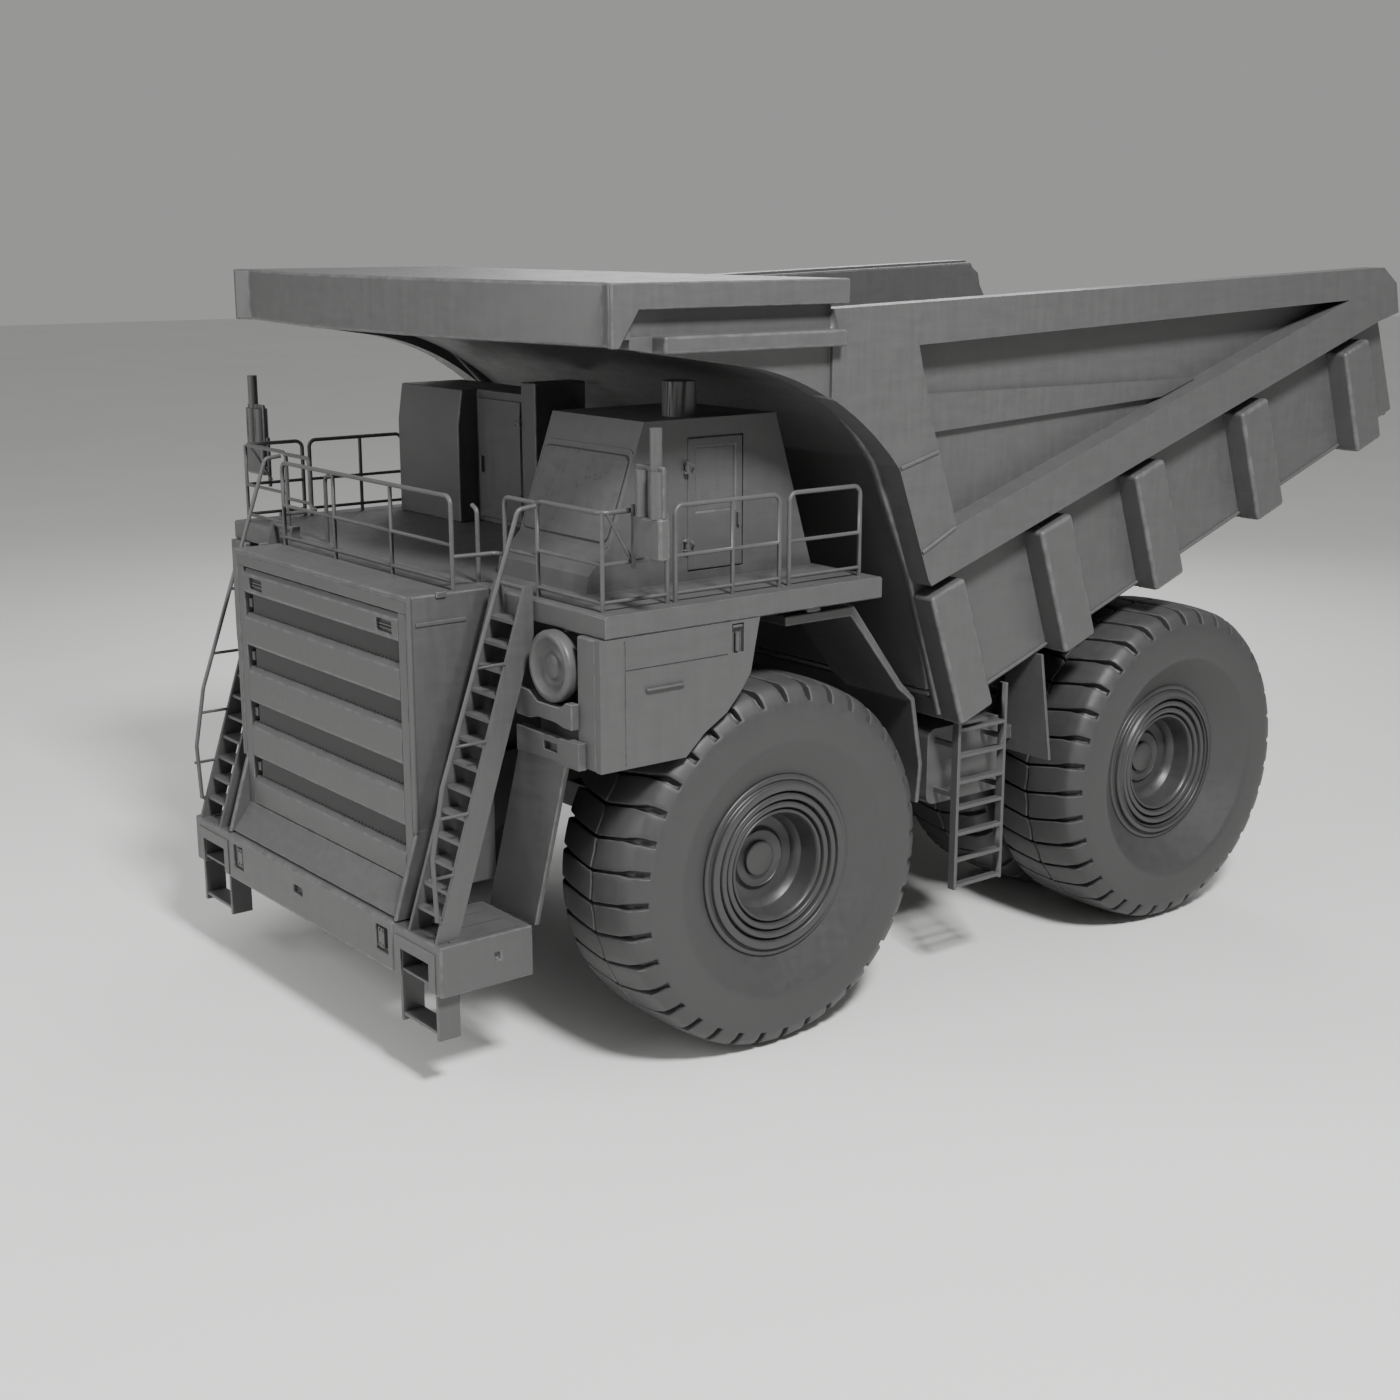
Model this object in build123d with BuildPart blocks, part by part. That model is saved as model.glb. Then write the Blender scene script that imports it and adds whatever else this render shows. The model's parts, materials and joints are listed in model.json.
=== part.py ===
"""Mining dump truck, in millimetres.

+X is the truck's left, the front faces -Y, +Z is up. The origin lies on the ground under the
middle of the truck's length. Stations are distances behind the front axle line, heights are
above the ground.
"""
import math
import os

from build123d import *

os.makedirs("parts", exist_ok=True)

# Overall sizes
LENGTH = 14640
FRONT_OVERHANG = 3560
WHEELBASE = 6450
AXLE_Y = -LENGTH / 2 + FRONT_OVERHANG

# Tyres and rims; inward distances run from a tyre's outer face
RAIL_OUTER = 730
TRACK_OUTER = 3990
DUAL_GAP = 180
RAIL_CLEARANCE = 140
TYRE_R = 2000
TYRE_WIDTH = (TRACK_OUTER - RAIL_OUTER - RAIL_CLEARANCE - DUAL_GAP) / 2
SIDEWALL_R = 1350
SHOULDER_R = 1860
SHOULDER_IN = 170
BEAD_R = 960
BEAD_RECESS = 200
RIM_BASE_R = 800
RIM_BORE_R = 740
RIM_LIP_R = 940
RIM_LIP = 60
RIM_OPENING_R = 610
DISC_RECESS = 640
DISC_WALL = 80
HUB_R = 330
HUB_CAP_R = 210
HUB_CAP_DEPTH = 60
FRONT_HUB_FACE = TRACK_OUTER - 490
REAR_HUB_FACE = TRACK_OUTER - 620

# Steering
KINGPIN_X = TRACK_OUTER - 1190
KINGPIN_R = 150
KINGPIN_HALF = 430
SPINDLE_R = 260
STEER_ARM = 400
TIE_ROD_R = 60
RUN_GAP = 0.3
HALF_BEAM = 160

# Chassis frame
RAIL_INNER = RAIL_OUTER - 300
RAIL_LOW = 1800
RAIL_HIGH = 2820
PIVOT_STATION = 8200
PIVOT_Z = 4300
PIVOT_R = 110

# Hoist cylinders
HOIST_X = RAIL_OUTER + 185
HOIST_FOOT = (4150, 1500)
HOIST_HEAD = (4450, 3560)
HOIST_R = 150
HOIST_PIN_R = 60
STAGE_ONE_R = 118
STAGE_TWO_R = 88
SLIDE_GAP = 0.5

# Deck
DECK_HALF = 3995
DECK_FRONT = -2310
DECK_REAR = 1260
DECK_TOP = 4970
DECK_THICK = 230
DECK_LOW = DECK_TOP - DECK_THICK
DECK_BEAMS = ((-260, 60), (700, 900))
DECK_BEAM_LOW = 4560

# Front end
NOSE_HALF = 1970
NOSE_FRONT = -3270
NOSE_BOTTOM = 1850
HOUSING_WALL = 60
GRILLE_HALF = 1755
BUMPER_HALF = 1925
BUMPER_LOW = 1070
BUMPER_HIGH = 1630
BUMPER_REAR = -3100
STEP_BOX_OUTER = 2870
STEP_BOX_FRONT = -3550
STEP_BOX_REAR = -2460
STEP_BOX_HIGH = 1620
LADDER_FOOT_Z = 460

# Stairs
STAIR_INNER = 2200
STAIR_OUTER = 2770
STAIR_FOOT = -3530
STAIR_HEAD = (-2400, 5100)
STRINGER_DEPTH = 250
STRINGER_THICK = 45
TREADS = 13

# Handrails
RAIL_TOP = 5920
RAIL_MID = 5430
RAIL_TUBE = 24
RAIL_BEND = 90

# Cab
CAB_OUTER = DECK_HALF - 1065
CAB_INNER = CAB_OUTER - 1630
CAB_WALL = 70
CAB_ROOF = 6640
DOOR_SPAN = (-500, 240)
DOOR_HEIGHTS = (5060, 6450)
DOOR_GAP = 6
HINGE_PIN_R = 14
HINGE_BARREL_R = 28
HINGE_HALF = 60

# Front corners under the deck
SKIRT_X = (DECK_HALF - 95, DECK_HALF - 10)
CORNER_FRONT = -2370
SKIRT_LOW = 3440
ARCH_R = 2060
AIR_X = DECK_HALF - 870
AIR_Z = 4380

# Dump body
BODY_HALF = 3900
RIB_DEPTH = 300
BODY_WALL = 100
BODY_INNER = BODY_HALF - RIB_DEPTH - BODY_WALL
FLOOR_SLOPE = 19.3
FLOOR_START = (2600, 3100)
FLOOR_LENGTH = (LENGTH / 2 - AXLE_Y - FLOOR_START[0]) / math.cos(math.radians(FLOOR_SLOPE))
BOLSTER_DEPTH = 300
FLOOR_THICK = 80
RIB_WIDTH = 450
SHEET_THICK = 80
CANOPY_TOP = 8040
CANOPY_THICK = 80
CANOPY_LIP_LOW = 7440
CANOPY_REAR = 780

SIDES = (("left", 1), ("right", -1))


def at(station):
    """Y of a station behind the front axle."""
    return AXLE_Y + station


def span(sign, low, high):
    """Ascending X span on one side of the truck."""
    return tuple(sorted((sign * low, sign * high)))


def plate(points, x_low, x_high, mode=Mode.ADD):
    """Side outline of (station, height) points, extruded from x_low to x_high."""
    with BuildSketch(Plane.YZ.offset(x_low)) as outline:
        with BuildLine():
            Polyline([(at(station), height) for station, height in points], close=True)
        make_face()
    extrude(outline.sketch, amount=x_high - x_low, mode=mode)


def block(x_span, station_span, height_span, mode=Mode.ADD):
    """Box between its low and high sides."""
    centre = (sum(x_span) / 2, at(sum(station_span) / 2), sum(height_span) / 2)
    size = [high - low for low, high in (x_span, station_span, height_span)]
    with Locations(centre):
        Box(*size, mode=mode)


def rod(start, end, radius, mode=Mode.ADD):
    """Round bar between two (x, station, height) points."""
    a = Vector(start[0], at(start[1]), start[2])
    b = Vector(end[0], at(end[1]), end[2])
    with BuildSketch(Plane(origin=a, z_dir=b - a)) as section:
        Circle(radius)
    extrude(section.sketch, amount=(b - a).length, mode=mode)


def bent_tube(points, radius, bend):
    """Tube along (x, station, height) points with rounded bends."""
    path = [(x, at(station), height) for x, station, height in points]
    with BuildLine() as line:
        FilletPolyline(*path, radius=bend)
    with BuildSketch(Plane(origin=path[0], z_dir=Vector(path[1]) - Vector(path[0]))) as section:
        Circle(radius)
    sweep(section.sketch, path=line.wire())


def cross_plate(points, station_low, station_high, mode=Mode.ADD):
    """Front outline of (x, height) points, extruded rearwards between two stations."""
    with BuildSketch(Plane(origin=(0, at(station_low), 0), x_dir=(1, 0, 0), z_dir=(0, -1, 0))) as outline:
        with BuildLine():
            Polyline(points, close=True)
        make_face()
    extrude(outline.sketch, amount=-(station_high - station_low), mode=mode)


def floor_point(along, above):
    """(station, height) of a point along the dump body's floor line and square to it."""
    slope = math.radians(FLOOR_SLOPE)
    return (
        FLOOR_START[0] + along * math.cos(slope) - above * math.sin(slope),
        FLOOR_START[1] + along * math.sin(slope) + above * math.cos(slope),
    )


def floor_plate(spans, x_low, x_high):
    """Rectangle along the floor line, given as ((along, along), (above, above))."""
    (u0, u1), (v0, v1) = spans
    plate([floor_point(u0, v0), floor_point(u1, v0), floor_point(u1, v1), floor_point(u0, v1)], x_low, x_high)


def finish(part, name, label):
    """Label one piece and write its file."""
    part.part.label = label
    export_step(part.part, f"parts/{name}.step")


def ring(points, station, mode=Mode.ADD):
    """Outline of (x, radius) points turned about a wheel's axis."""
    origin = (0, at(station), TYRE_R)
    with BuildSketch(Plane(origin=origin, x_dir=(1, 0, 0), z_dir=(0, -1, 0))) as section:
        with BuildLine():
            Polyline(points, close=True)
        make_face()
    revolve(section.sketch, axis=Axis(origin, (1, 0, 0)), mode=mode)


def tyre_outline(outer, sign):
    """Tyre section from its outer face inwards, as (x, radius) points."""
    half = (
        (BEAD_RECESS, RIM_BASE_R), (BEAD_RECESS, BEAD_R), (0, SIDEWALL_R), (0, SHOULDER_R),
        (60, (SHOULDER_R + TYRE_R) / 2), (SHOULDER_IN, TYRE_R),
    )
    profile = half + tuple((TYRE_WIDTH - inward, radius) for inward, radius in reversed(half))
    return [(sign * (outer - inward), radius) for inward, radius in profile]


def rim_outline(outer, sign, hub_face):
    """Rim, disc and hub section from the outer face inwards, as (x, radius) points."""
    lip = BEAD_RECESS - RIM_LIP
    hub = outer - hub_face
    profile = (
        (lip, RIM_BORE_R), (lip, RIM_LIP_R), (BEAD_RECESS, RIM_LIP_R), (BEAD_RECESS, RIM_BASE_R),
        (TYRE_WIDTH - BEAD_RECESS, RIM_BASE_R), (TYRE_WIDTH - BEAD_RECESS, RIM_BORE_R),
        (DISC_RECESS + DISC_WALL, RIM_BORE_R), (DISC_RECESS + DISC_WALL, 0), (hub - HUB_CAP_DEPTH, 0),
        (hub - HUB_CAP_DEPTH, HUB_CAP_R), (hub, HUB_CAP_R), (hub, HUB_R), (DISC_RECESS, HUB_R),
        (DISC_RECESS, RIM_OPENING_R), (lip + 110, RIM_OPENING_R), (lip + 110, 690), (lip + 50, 690),
        (lip + 50, RIM_BORE_R),
    )
    return [(sign * (outer - inward), radius) for inward, radius in profile]


# Front wheels
for side, sign in SIDES:
    with BuildPart() as front_tyre:
        ring(tyre_outline(TRACK_OUTER, sign), 0)
    finish(front_tyre, f"front_tyre_{side}", f"front tyre {side}")

    with BuildPart() as front_rim:
        ring(rim_outline(TRACK_OUTER, sign, FRONT_HUB_FACE), 0)
    finish(front_rim, f"front_rim_{side}", f"front rim {side}")

# Rear dual wheels: the inner rim is a plain band, joined to the outer rim by a spacer
INNER_FACE = TRACK_OUTER - TYRE_WIDTH - DUAL_GAP
for side, sign in SIDES:
    with BuildPart() as rear_tyres:
        for outer in (TRACK_OUTER, INNER_FACE):
            ring(tyre_outline(outer, sign), WHEELBASE)
    finish(rear_tyres, f"rear_tyres_{side}", f"rear tyres {side}")

    inner_rim = (
        (BEAD_RECESS - RIM_LIP, RIM_BORE_R), (BEAD_RECESS - RIM_LIP, RIM_LIP_R), (BEAD_RECESS, RIM_LIP_R),
        (BEAD_RECESS, RIM_BASE_R), (TYRE_WIDTH - BEAD_RECESS, RIM_BASE_R), (TYRE_WIDTH - BEAD_RECESS, RIM_BORE_R),
    )
    spacer = (INNER_FACE - BEAD_RECESS + RIM_LIP, TRACK_OUTER - TYRE_WIDTH + BEAD_RECESS)
    with BuildPart() as rear_rims:
        ring(rim_outline(TRACK_OUTER, sign, REAR_HUB_FACE), WHEELBASE)
        ring([(sign * (INNER_FACE - inward), radius) for inward, radius in inner_rim], WHEELBASE)
        ring(
            [(sign * x, radius) for x, radius in (
                (spacer[0], RIM_BORE_R), (spacer[0], RIM_BASE_R), (spacer[1], RIM_BASE_R), (spacer[1], RIM_BORE_R),
            )],
            WHEELBASE,
        )
    finish(rear_rims, f"rear_rims_{side}", f"rear rims {side}")

# Knuckles: king pin, spindle and steering arm
SPINDLE_END = TRACK_OUTER - DISC_RECESS - DISC_WALL - RUN_GAP
YOKE_LOW = 290
YOKE_HIGH = 420
YOKE_R = 230
ARM_HALF = 90
ARM_THICK = 100
for side, sign in SIDES:
    x = sign * KINGPIN_X
    with BuildPart() as knuckle:
        rod((x, 0, TYRE_R - KINGPIN_HALF), (x, 0, TYRE_R + KINGPIN_HALF), KINGPIN_R)
        rod((x, 0, TYRE_R - YOKE_LOW + RUN_GAP), (x, 0, TYRE_R + YOKE_LOW - RUN_GAP), YOKE_R - 20)
        rod((x, 0, TYRE_R), (sign * SPINDLE_END, 0, TYRE_R), SPINDLE_R)
        block((x - ARM_HALF, x + ARM_HALF), (0, STEER_ARM), (TYRE_R - ARM_THICK, TYRE_R))
        rod((x, STEER_ARM, TYRE_R - ARM_THICK), (x, STEER_ARM, TYRE_R), ARM_HALF)
    finish(knuckle, f"knuckle_{side}", f"steering knuckle {side}")

# Tie rod under the two steering arms
TIE_TOP = TYRE_R - ARM_THICK - RUN_GAP
TIE_END_R = 95
TIE_END_THICK = 130
with BuildPart() as tie_rod:
    for _, sign in SIDES:
        x = sign * KINGPIN_X
        rod((x, STEER_ARM, TIE_TOP - TIE_END_THICK), (x, STEER_ARM, TIE_TOP), TIE_END_R)
    middle = TIE_TOP - TIE_END_THICK / 2
    rod((-KINGPIN_X, STEER_ARM, middle), (KINGPIN_X, STEER_ARM, middle), TIE_ROD_R)
finish(tie_rod, "steering_tie_rod", "steering tie rod")

# Front axle with its yokes round the king pins
AXLE_HALF = 190
AXLE_END = 2330
with BuildPart() as front_axle:
    block((-AXLE_END, AXLE_END), (-AXLE_HALF, AXLE_HALF), (TYRE_R - HALF_BEAM, TYRE_R + HALF_BEAM))
    for _, sign in SIDES:
        x = sign * KINGPIN_X
        block(
            span(sign, AXLE_END - 100, AXLE_END), (-AXLE_HALF, AXLE_HALF), (TYRE_R - YOKE_HIGH, TYRE_R + YOKE_HIGH),
        )
        for low, high in ((TYRE_R - YOKE_HIGH, TYRE_R - YOKE_LOW), (TYRE_R + YOKE_LOW, TYRE_R + YOKE_HIGH)):
            rod((x, 0, low), (x, 0, high), YOKE_R)
            block(span(sign, AXLE_END, KINGPIN_X), (-AXLE_HALF, AXLE_HALF), (low, high))
        rod((x, 0, TYRE_R - YOKE_HIGH), (x, 0, TYRE_R + YOKE_HIGH), KINGPIN_R + RUN_GAP, mode=Mode.SUBTRACT)
finish(front_axle, "front_axle", "front axle")

# Suspension struts: front ones up to the frame's outriggers, rear ones under the rails
FRONT_STRUT_X = 1500
FRONT_STRUT_TOP = 3500
STRUT_R = 210
STRUT_ROD_R = 130
REAR_STRUT = (600, WHEELBASE + 450)
REAR_RAIL_LOW = 2850
REAR_LUG_TOP = 2250
with BuildPart() as struts:
    for _, sign in SIDES:
        x = sign * FRONT_STRUT_X
        rod((x, 0, TYRE_R + HALF_BEAM), (x, 0, FRONT_STRUT_TOP), STRUT_ROD_R)
        rod((x, 0, 2800), (x, 0, FRONT_STRUT_TOP), STRUT_R)
        x = sign * REAR_STRUT[0]
        rod((x, REAR_STRUT[1], REAR_LUG_TOP), (x, REAR_STRUT[1], REAR_RAIL_LOW), STRUT_ROD_R - 30)
        rod((x, REAR_STRUT[1], REAR_LUG_TOP + 250), (x, REAR_STRUT[1], REAR_RAIL_LOW), STRUT_ROD_R)
finish(struts, "suspension_struts", "suspension struts")

# Chassis frame: two rails, cross members, strut outriggers, deck posts and rear ears
RAIL_OUTLINE = (
    (BUMPER_REAR, BUMPER_LOW + 80), (-2500, BUMPER_LOW + 80), (-1000, 2330), (800, 2330), (1400, RAIL_LOW),
    (5000, RAIL_LOW), (5650, REAR_RAIL_LOW), (7300, REAR_RAIL_LOW), (7900, 3900), (8440, 4000), (8470, 4150), (8420, 4300),
    (8300, 4415), (8200, 4450), (7700, 4450), (2600, RAIL_HIGH), (-2150, RAIL_HIGH), (DECK_FRONT, NOSE_BOTTOM), (BUMPER_REAR, NOSE_BOTTOM),
)
CROSS_MEMBERS = (
    # station span, height span
    ((BUMPER_REAR, -2800), (1250, 1700)), ((-500, 500), (2400, 2750)), ((2600, 3000), (1900, 2700)),
    ((4300, 4700), (1900, 2800)), ((6900, 7200), (3000, 3700)),
    ((PIVOT_STATION - 330, PIVOT_STATION - 230), (3950, PIVOT_Z)),
)
ENGINE_HALF = 620
with BuildPart() as chassis_frame:
    plate(RAIL_OUTLINE, RAIL_INNER, RAIL_OUTER)
    for low, high in DECK_BEAMS:
        plate(
            ((low, RAIL_HIGH - 20), (high, RAIL_HIGH - 20), (high, DECK_BEAM_LOW), (low, DECK_BEAM_LOW)),
            ENGINE_HALF + 20, RAIL_OUTER,
        )
    block((RAIL_OUTER, FRONT_STRUT_X + STRUT_R + 50), (-STRUT_R - 50, STRUT_R + 50), (FRONT_STRUT_TOP, 3750))
    block((RAIL_OUTER, RAIL_OUTER + 120), (-STRUT_R - 50, STRUT_R + 50), (2400, FRONT_STRUT_TOP))
    # hoist pin with its bracket under the rail
    foot_station, foot_z = HOIST_FOOT
    plate(
        ((foot_station - 200, RAIL_LOW + 50), (foot_station + 200, RAIL_LOW + 50), (foot_station + 130, foot_z - 130),
         (foot_station - 130, foot_z - 130)),
        RAIL_OUTER - 60, RAIL_OUTER + 20,
    )
    rod((RAIL_OUTER, *HOIST_FOOT), (HOIST_X + HOIST_R + 30, *HOIST_FOOT), HOIST_PIN_R)
    mirror(about=Plane.YZ)
    for station_span, height_span in CROSS_MEMBERS:
        block((-RAIL_INNER, RAIL_INNER), station_span, height_span)
    rod((-RAIL_OUTER, PIVOT_STATION, PIVOT_Z), (RAIL_OUTER, PIVOT_STATION, PIVOT_Z), PIVOT_R + RUN_GAP,
        mode=Mode.SUBTRACT)
finish(chassis_frame, "chassis_frame", "chassis frame")

# Engine on the rails, under the deck
with BuildPart() as engine:
    block((-ENGINE_HALF, ENGINE_HALF), (-1900, -300), (RAIL_HIGH, 4500))
    block((-480, 480), (-300, 650), (RAIL_HIGH, 4000))
finish(engine, "engine_block", "engine block")

# Rear axle: housing with round ends that carry the wheels, nose arm and strut lugs
AXLE_TUBE_R = 420
AXLE_BELLY_R = 640
BELLY_HALF = 360
with BuildPart() as rear_axle:
    ring(
        (
            (-SPINDLE_END, 0), (-SPINDLE_END, AXLE_TUBE_R), (-BELLY_HALF - 200, AXLE_TUBE_R),
            (-BELLY_HALF, AXLE_BELLY_R), (BELLY_HALF, AXLE_BELLY_R), (BELLY_HALF + 200, AXLE_TUBE_R),
            (SPINDLE_END, AXLE_TUBE_R), (SPINDLE_END, 0),
        ),
        WHEELBASE,
    )
    plate(((4700, 1920), (4700, 2220), (6200, 2350), (6200, 1700)), -350, 350)
    for _, sign in SIDES:
        block(
            span(sign, REAR_STRUT[0] - 130, REAR_STRUT[0] + 130), (WHEELBASE + 100, REAR_STRUT[1] + 130),
            (TYRE_R, REAR_LUG_TOP),
        )
finish(rear_axle, "rear_axle", "rear axle housing")

# Bumper with the step boxes at its ends and the short ladders under them
with BuildPart() as bumper:
    block((-BUMPER_HALF, BUMPER_HALF), (-FRONT_OVERHANG, BUMPER_REAR), (BUMPER_LOW, BUMPER_HIGH))
    chamfer(bumper.edges().filter_by(Axis.X).group_by(Axis.Y)[0], 25)
    for _, sign in SIDES:
        block(span(sign, BUMPER_HALF, STEP_BOX_OUTER), (STEP_BOX_FRONT, STEP_BOX_REAR), (BUMPER_LOW + 10, STEP_BOX_HIGH))
        for x in (1985, 2560):
            block(span(sign, x, x + 40), (-3500, -3300), (LADDER_FOOT_Z, BUMPER_LOW + 10))
        for z in (LADDER_FOOT_Z, 760):
            block(span(sign, 2025, 2560), (-3500, -3300), (z, z + 40))
finish(bumper, "front_bumper", "front bumper with step boxes")

# Radiator housing: open duct behind the grille, its floor on the rails, and its lower wing plates
with BuildPart() as housing:
    block((-NOSE_HALF, NOSE_HALF), (NOSE_FRONT + 60, DECK_FRONT), (NOSE_BOTTOM, DECK_TOP))
    block(
        (-NOSE_HALF + HOUSING_WALL, NOSE_HALF - HOUSING_WALL), (NOSE_FRONT, DECK_FRONT + 10),
        (NOSE_BOTTOM + HOUSING_WALL, DECK_TOP - HOUSING_WALL), mode=Mode.SUBTRACT,
    )
    for _, sign in SIDES:
        plate(
            ((NOSE_FRONT, 2560), (NOSE_FRONT, 2500), (-3540, BUMPER_HIGH), (BUMPER_REAR, BUMPER_HIGH), (-2900, 2560)),
            *span(sign, NOSE_HALF - HOUSING_WALL, NOSE_HALF),
        )
        block(
            span(sign, NOSE_HALF - HOUSING_WALL, NOSE_HALF), (NOSE_FRONT, NOSE_FRONT + 60), (2500, DECK_TOP - 60),
        )
finish(housing, "radiator_housing", "radiator housing")

# Grille: louvre bands on a frame, in front of the core
GRILLE_BANDS = ((1960, 2320), (2545, 2970), (3200, 3630), (3850, 4250), (4480, 4880))
CORE_FRONT = NOSE_FRONT + 130
GRILLE_SIDE = NOSE_HALF - HOUSING_WALL
GRILLE_TOP = DECK_TOP - HOUSING_WALL
with BuildPart() as grille:
    block((-GRILLE_SIDE, GRILLE_SIDE), (CORE_FRONT, CORE_FRONT + 60), (NOSE_BOTTOM + HOUSING_WALL, GRILLE_TOP))
    for low, high in GRILLE_BANDS:
        plate(
            ((CORE_FRONT, low), (NOSE_FRONT + 25, low), (NOSE_FRONT, low + 30), (NOSE_FRONT, high - 60),
             (NOSE_FRONT + 40, high), (CORE_FRONT, high)),
            -GRILLE_HALF, GRILLE_HALF,
        )
    for _, sign in SIDES:
        block(
            span(sign, GRILLE_HALF, GRILLE_SIDE), (NOSE_FRONT, CORE_FRONT), (NOSE_BOTTOM + HOUSING_WALL, GRILLE_TOP),
        )
        # recessed lamps in the top band
        block(span(sign, 1400, 1690), (NOSE_FRONT - 1, NOSE_FRONT + 60), (4570, 4760), mode=Mode.SUBTRACT)
finish(grille, "radiator_grille", "radiator grille")


# Stairs up both sides of the radiator, with a handrail standing off the outer stringer
STAIR_SLOPE = (STAIR_HEAD[0] - STAIR_FOOT) / (STAIR_HEAD[1] - STEP_BOX_HIGH)


def stair_station(height):
    """Station of the stringers' front edge at a height."""
    return STAIR_FOOT + STAIR_SLOPE * (height - STEP_BOX_HIGH)


HAND_X = STAIR_OUTER - STRINGER_THICK / 2
HAND_PATH = ((-2250, RAIL_TOP - 40), (-2450, RAIL_TOP - 60), (-3400, 3200), (-3530, 2500), (-3500, 1850))
HAND_STAYS = (4350, 3600, 2900, 2300)
with BuildPart() as stairs:
    for _, sign in SIDES:
        for x in (STAIR_INNER, STAIR_OUTER - STRINGER_THICK):
            seat = (DECK_FRONT - STRINGER_DEPTH - STAIR_FOOT) / STAIR_SLOPE + STEP_BOX_HIGH
            plate(
                (
                    (STAIR_FOOT, STEP_BOX_HIGH), (STAIR_FOOT + STRINGER_DEPTH, STEP_BOX_HIGH), (DECK_FRONT, seat),
                    (DECK_FRONT, STAIR_HEAD[1]), STAIR_HEAD,
                ),
                *span(sign, x, x + STRINGER_THICK),
            )
        for index in range(TREADS):
            height = STEP_BOX_HIGH + (index + 1) * (DECK_TOP - STEP_BOX_HIGH) / (TREADS + 1)
            front = stair_station(height) + 20
            block(
                span(sign, STAIR_INNER + STRINGER_THICK, STAIR_OUTER - STRINGER_THICK),
                (front, min(front + 210, DECK_FRONT)), (height - 18, height + 18),
            )
        bent_tube([(sign * HAND_X, station, height) for station, height in HAND_PATH], RAIL_TUBE, 70)
        rod((sign * HAND_X, -3500, 1870), (sign * HAND_X, stair_station(1800) + 60, 1800), RAIL_TUBE - 2)
        for height in HAND_STAYS:
            share = (HAND_PATH[1][1] - height) / (HAND_PATH[1][1] - HAND_PATH[2][1])
            rail = HAND_PATH[1][0] + share * (HAND_PATH[2][0] - HAND_PATH[1][0])
            if height < HAND_PATH[2][1]:
                share = (HAND_PATH[2][1] - height) / (HAND_PATH[2][1] - HAND_PATH[3][1])
                rail = HAND_PATH[2][0] + share * (HAND_PATH[3][0] - HAND_PATH[2][0])
            rod((sign * HAND_X, rail, height), (sign * HAND_X, stair_station(height) + 60, height), RAIL_TUBE - 6)
finish(stairs, "stairs", "stairs")

# Deck: slab with two cross beams on the frame's posts
with BuildPart() as deck:
    block((-DECK_HALF, DECK_HALF), (DECK_FRONT, DECK_REAR), (DECK_LOW, DECK_TOP))
    chamfer(deck.edges().filter_by(Axis.X).group_by(Axis.Z)[-1], 20)
    for station_span in DECK_BEAMS:
        block((-3450, 3450), station_span, (DECK_BEAM_LOW, DECK_LOW))
finish(deck, "deck", "deck")

# Handrails round the deck: bent tube panels with a middle rail
SIDE_RAIL_X = DECK_HALF - 195
CORNER_POST = (2700, -2200)
HOOD_RAIL = (-2700, -1800, 1900)
RAIL_PANELS = (
    # plan points (x, station) from post to post, then the share of the last run at which inner posts stand
    (((SIDE_RAIL_X, -1330), (SIDE_RAIL_X, 0)), (0.54,)),
    (((SIDE_RAIL_X, 130), (SIDE_RAIL_X, 1100)), ()),
    ((CORNER_POST, (SIDE_RAIL_X, -2200), (SIDE_RAIL_X, -1430)), ()),
)


def rail_panel(plan, shares):
    """One handrail panel of bent tube standing on the deck."""
    (x0, s0), (x1, s1) = plan[0], plan[-1]
    bent_tube(
        [(x0, s0, DECK_TOP), *((x, station, RAIL_TOP) for x, station in plan), (x1, s1, DECK_TOP)], RAIL_TUBE, RAIL_BEND,
    )
    for (x0, s0), (x1, s1) in zip(plan, plan[1:]):
        rod((x0, s0, RAIL_MID), (x1, s1, RAIL_MID), RAIL_TUBE - 4)
    (x0, s0), (x1, s1) = plan[-2:]
    for x, station in [(x0 + share * (x1 - x0), s0 + share * (s1 - s0)) for share in shares] + list(plan[1:-1]):
        rod((x, station, DECK_TOP), (x, station, RAIL_TOP - 5), RAIL_TUBE - 2)


with BuildPart() as handrails:
    for plan, shares in RAIL_PANELS:
        rail_panel(plan, shares)
    mirror(about=Plane.YZ)
    station, low, high = HOOD_RAIL
    rail_panel(((low, station), (high, station)), (0.33, 0.67))
finish(handrails, "handrails", "handrails")


def hinge_fixed(x, station, heights, lug_x, lug_station):
    """Lugs and pins of a door hinge, on the piece that carries the door."""
    for height in heights:
        rod((x, station, height - HINGE_HALF), (x, station, height + HINGE_HALF), HINGE_PIN_R)
        for low, high in ((-HINGE_HALF, -HINGE_HALF / 2 - 1), (HINGE_HALF / 2 + 1, HINGE_HALF)):
            block(lug_x, lug_station, (height + low, height + high))


def hinge_moving(x, station, heights, strap_x, strap_station):
    """Barrels and straps of a door hinge, on the door."""
    for height in heights:
        rod((x, station, height - HINGE_HALF / 2), (x, station, height + HINGE_HALF / 2), HINGE_BARREL_R)
        block(strap_x, strap_station, (height - HINGE_HALF / 2, height + HINGE_HALF / 2))
        rod(
            (x, station, height - HINGE_HALF), (x, station, height + HINGE_HALF), HINGE_PIN_R + RUN_GAP,
            mode=Mode.SUBTRACT,
        )


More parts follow.
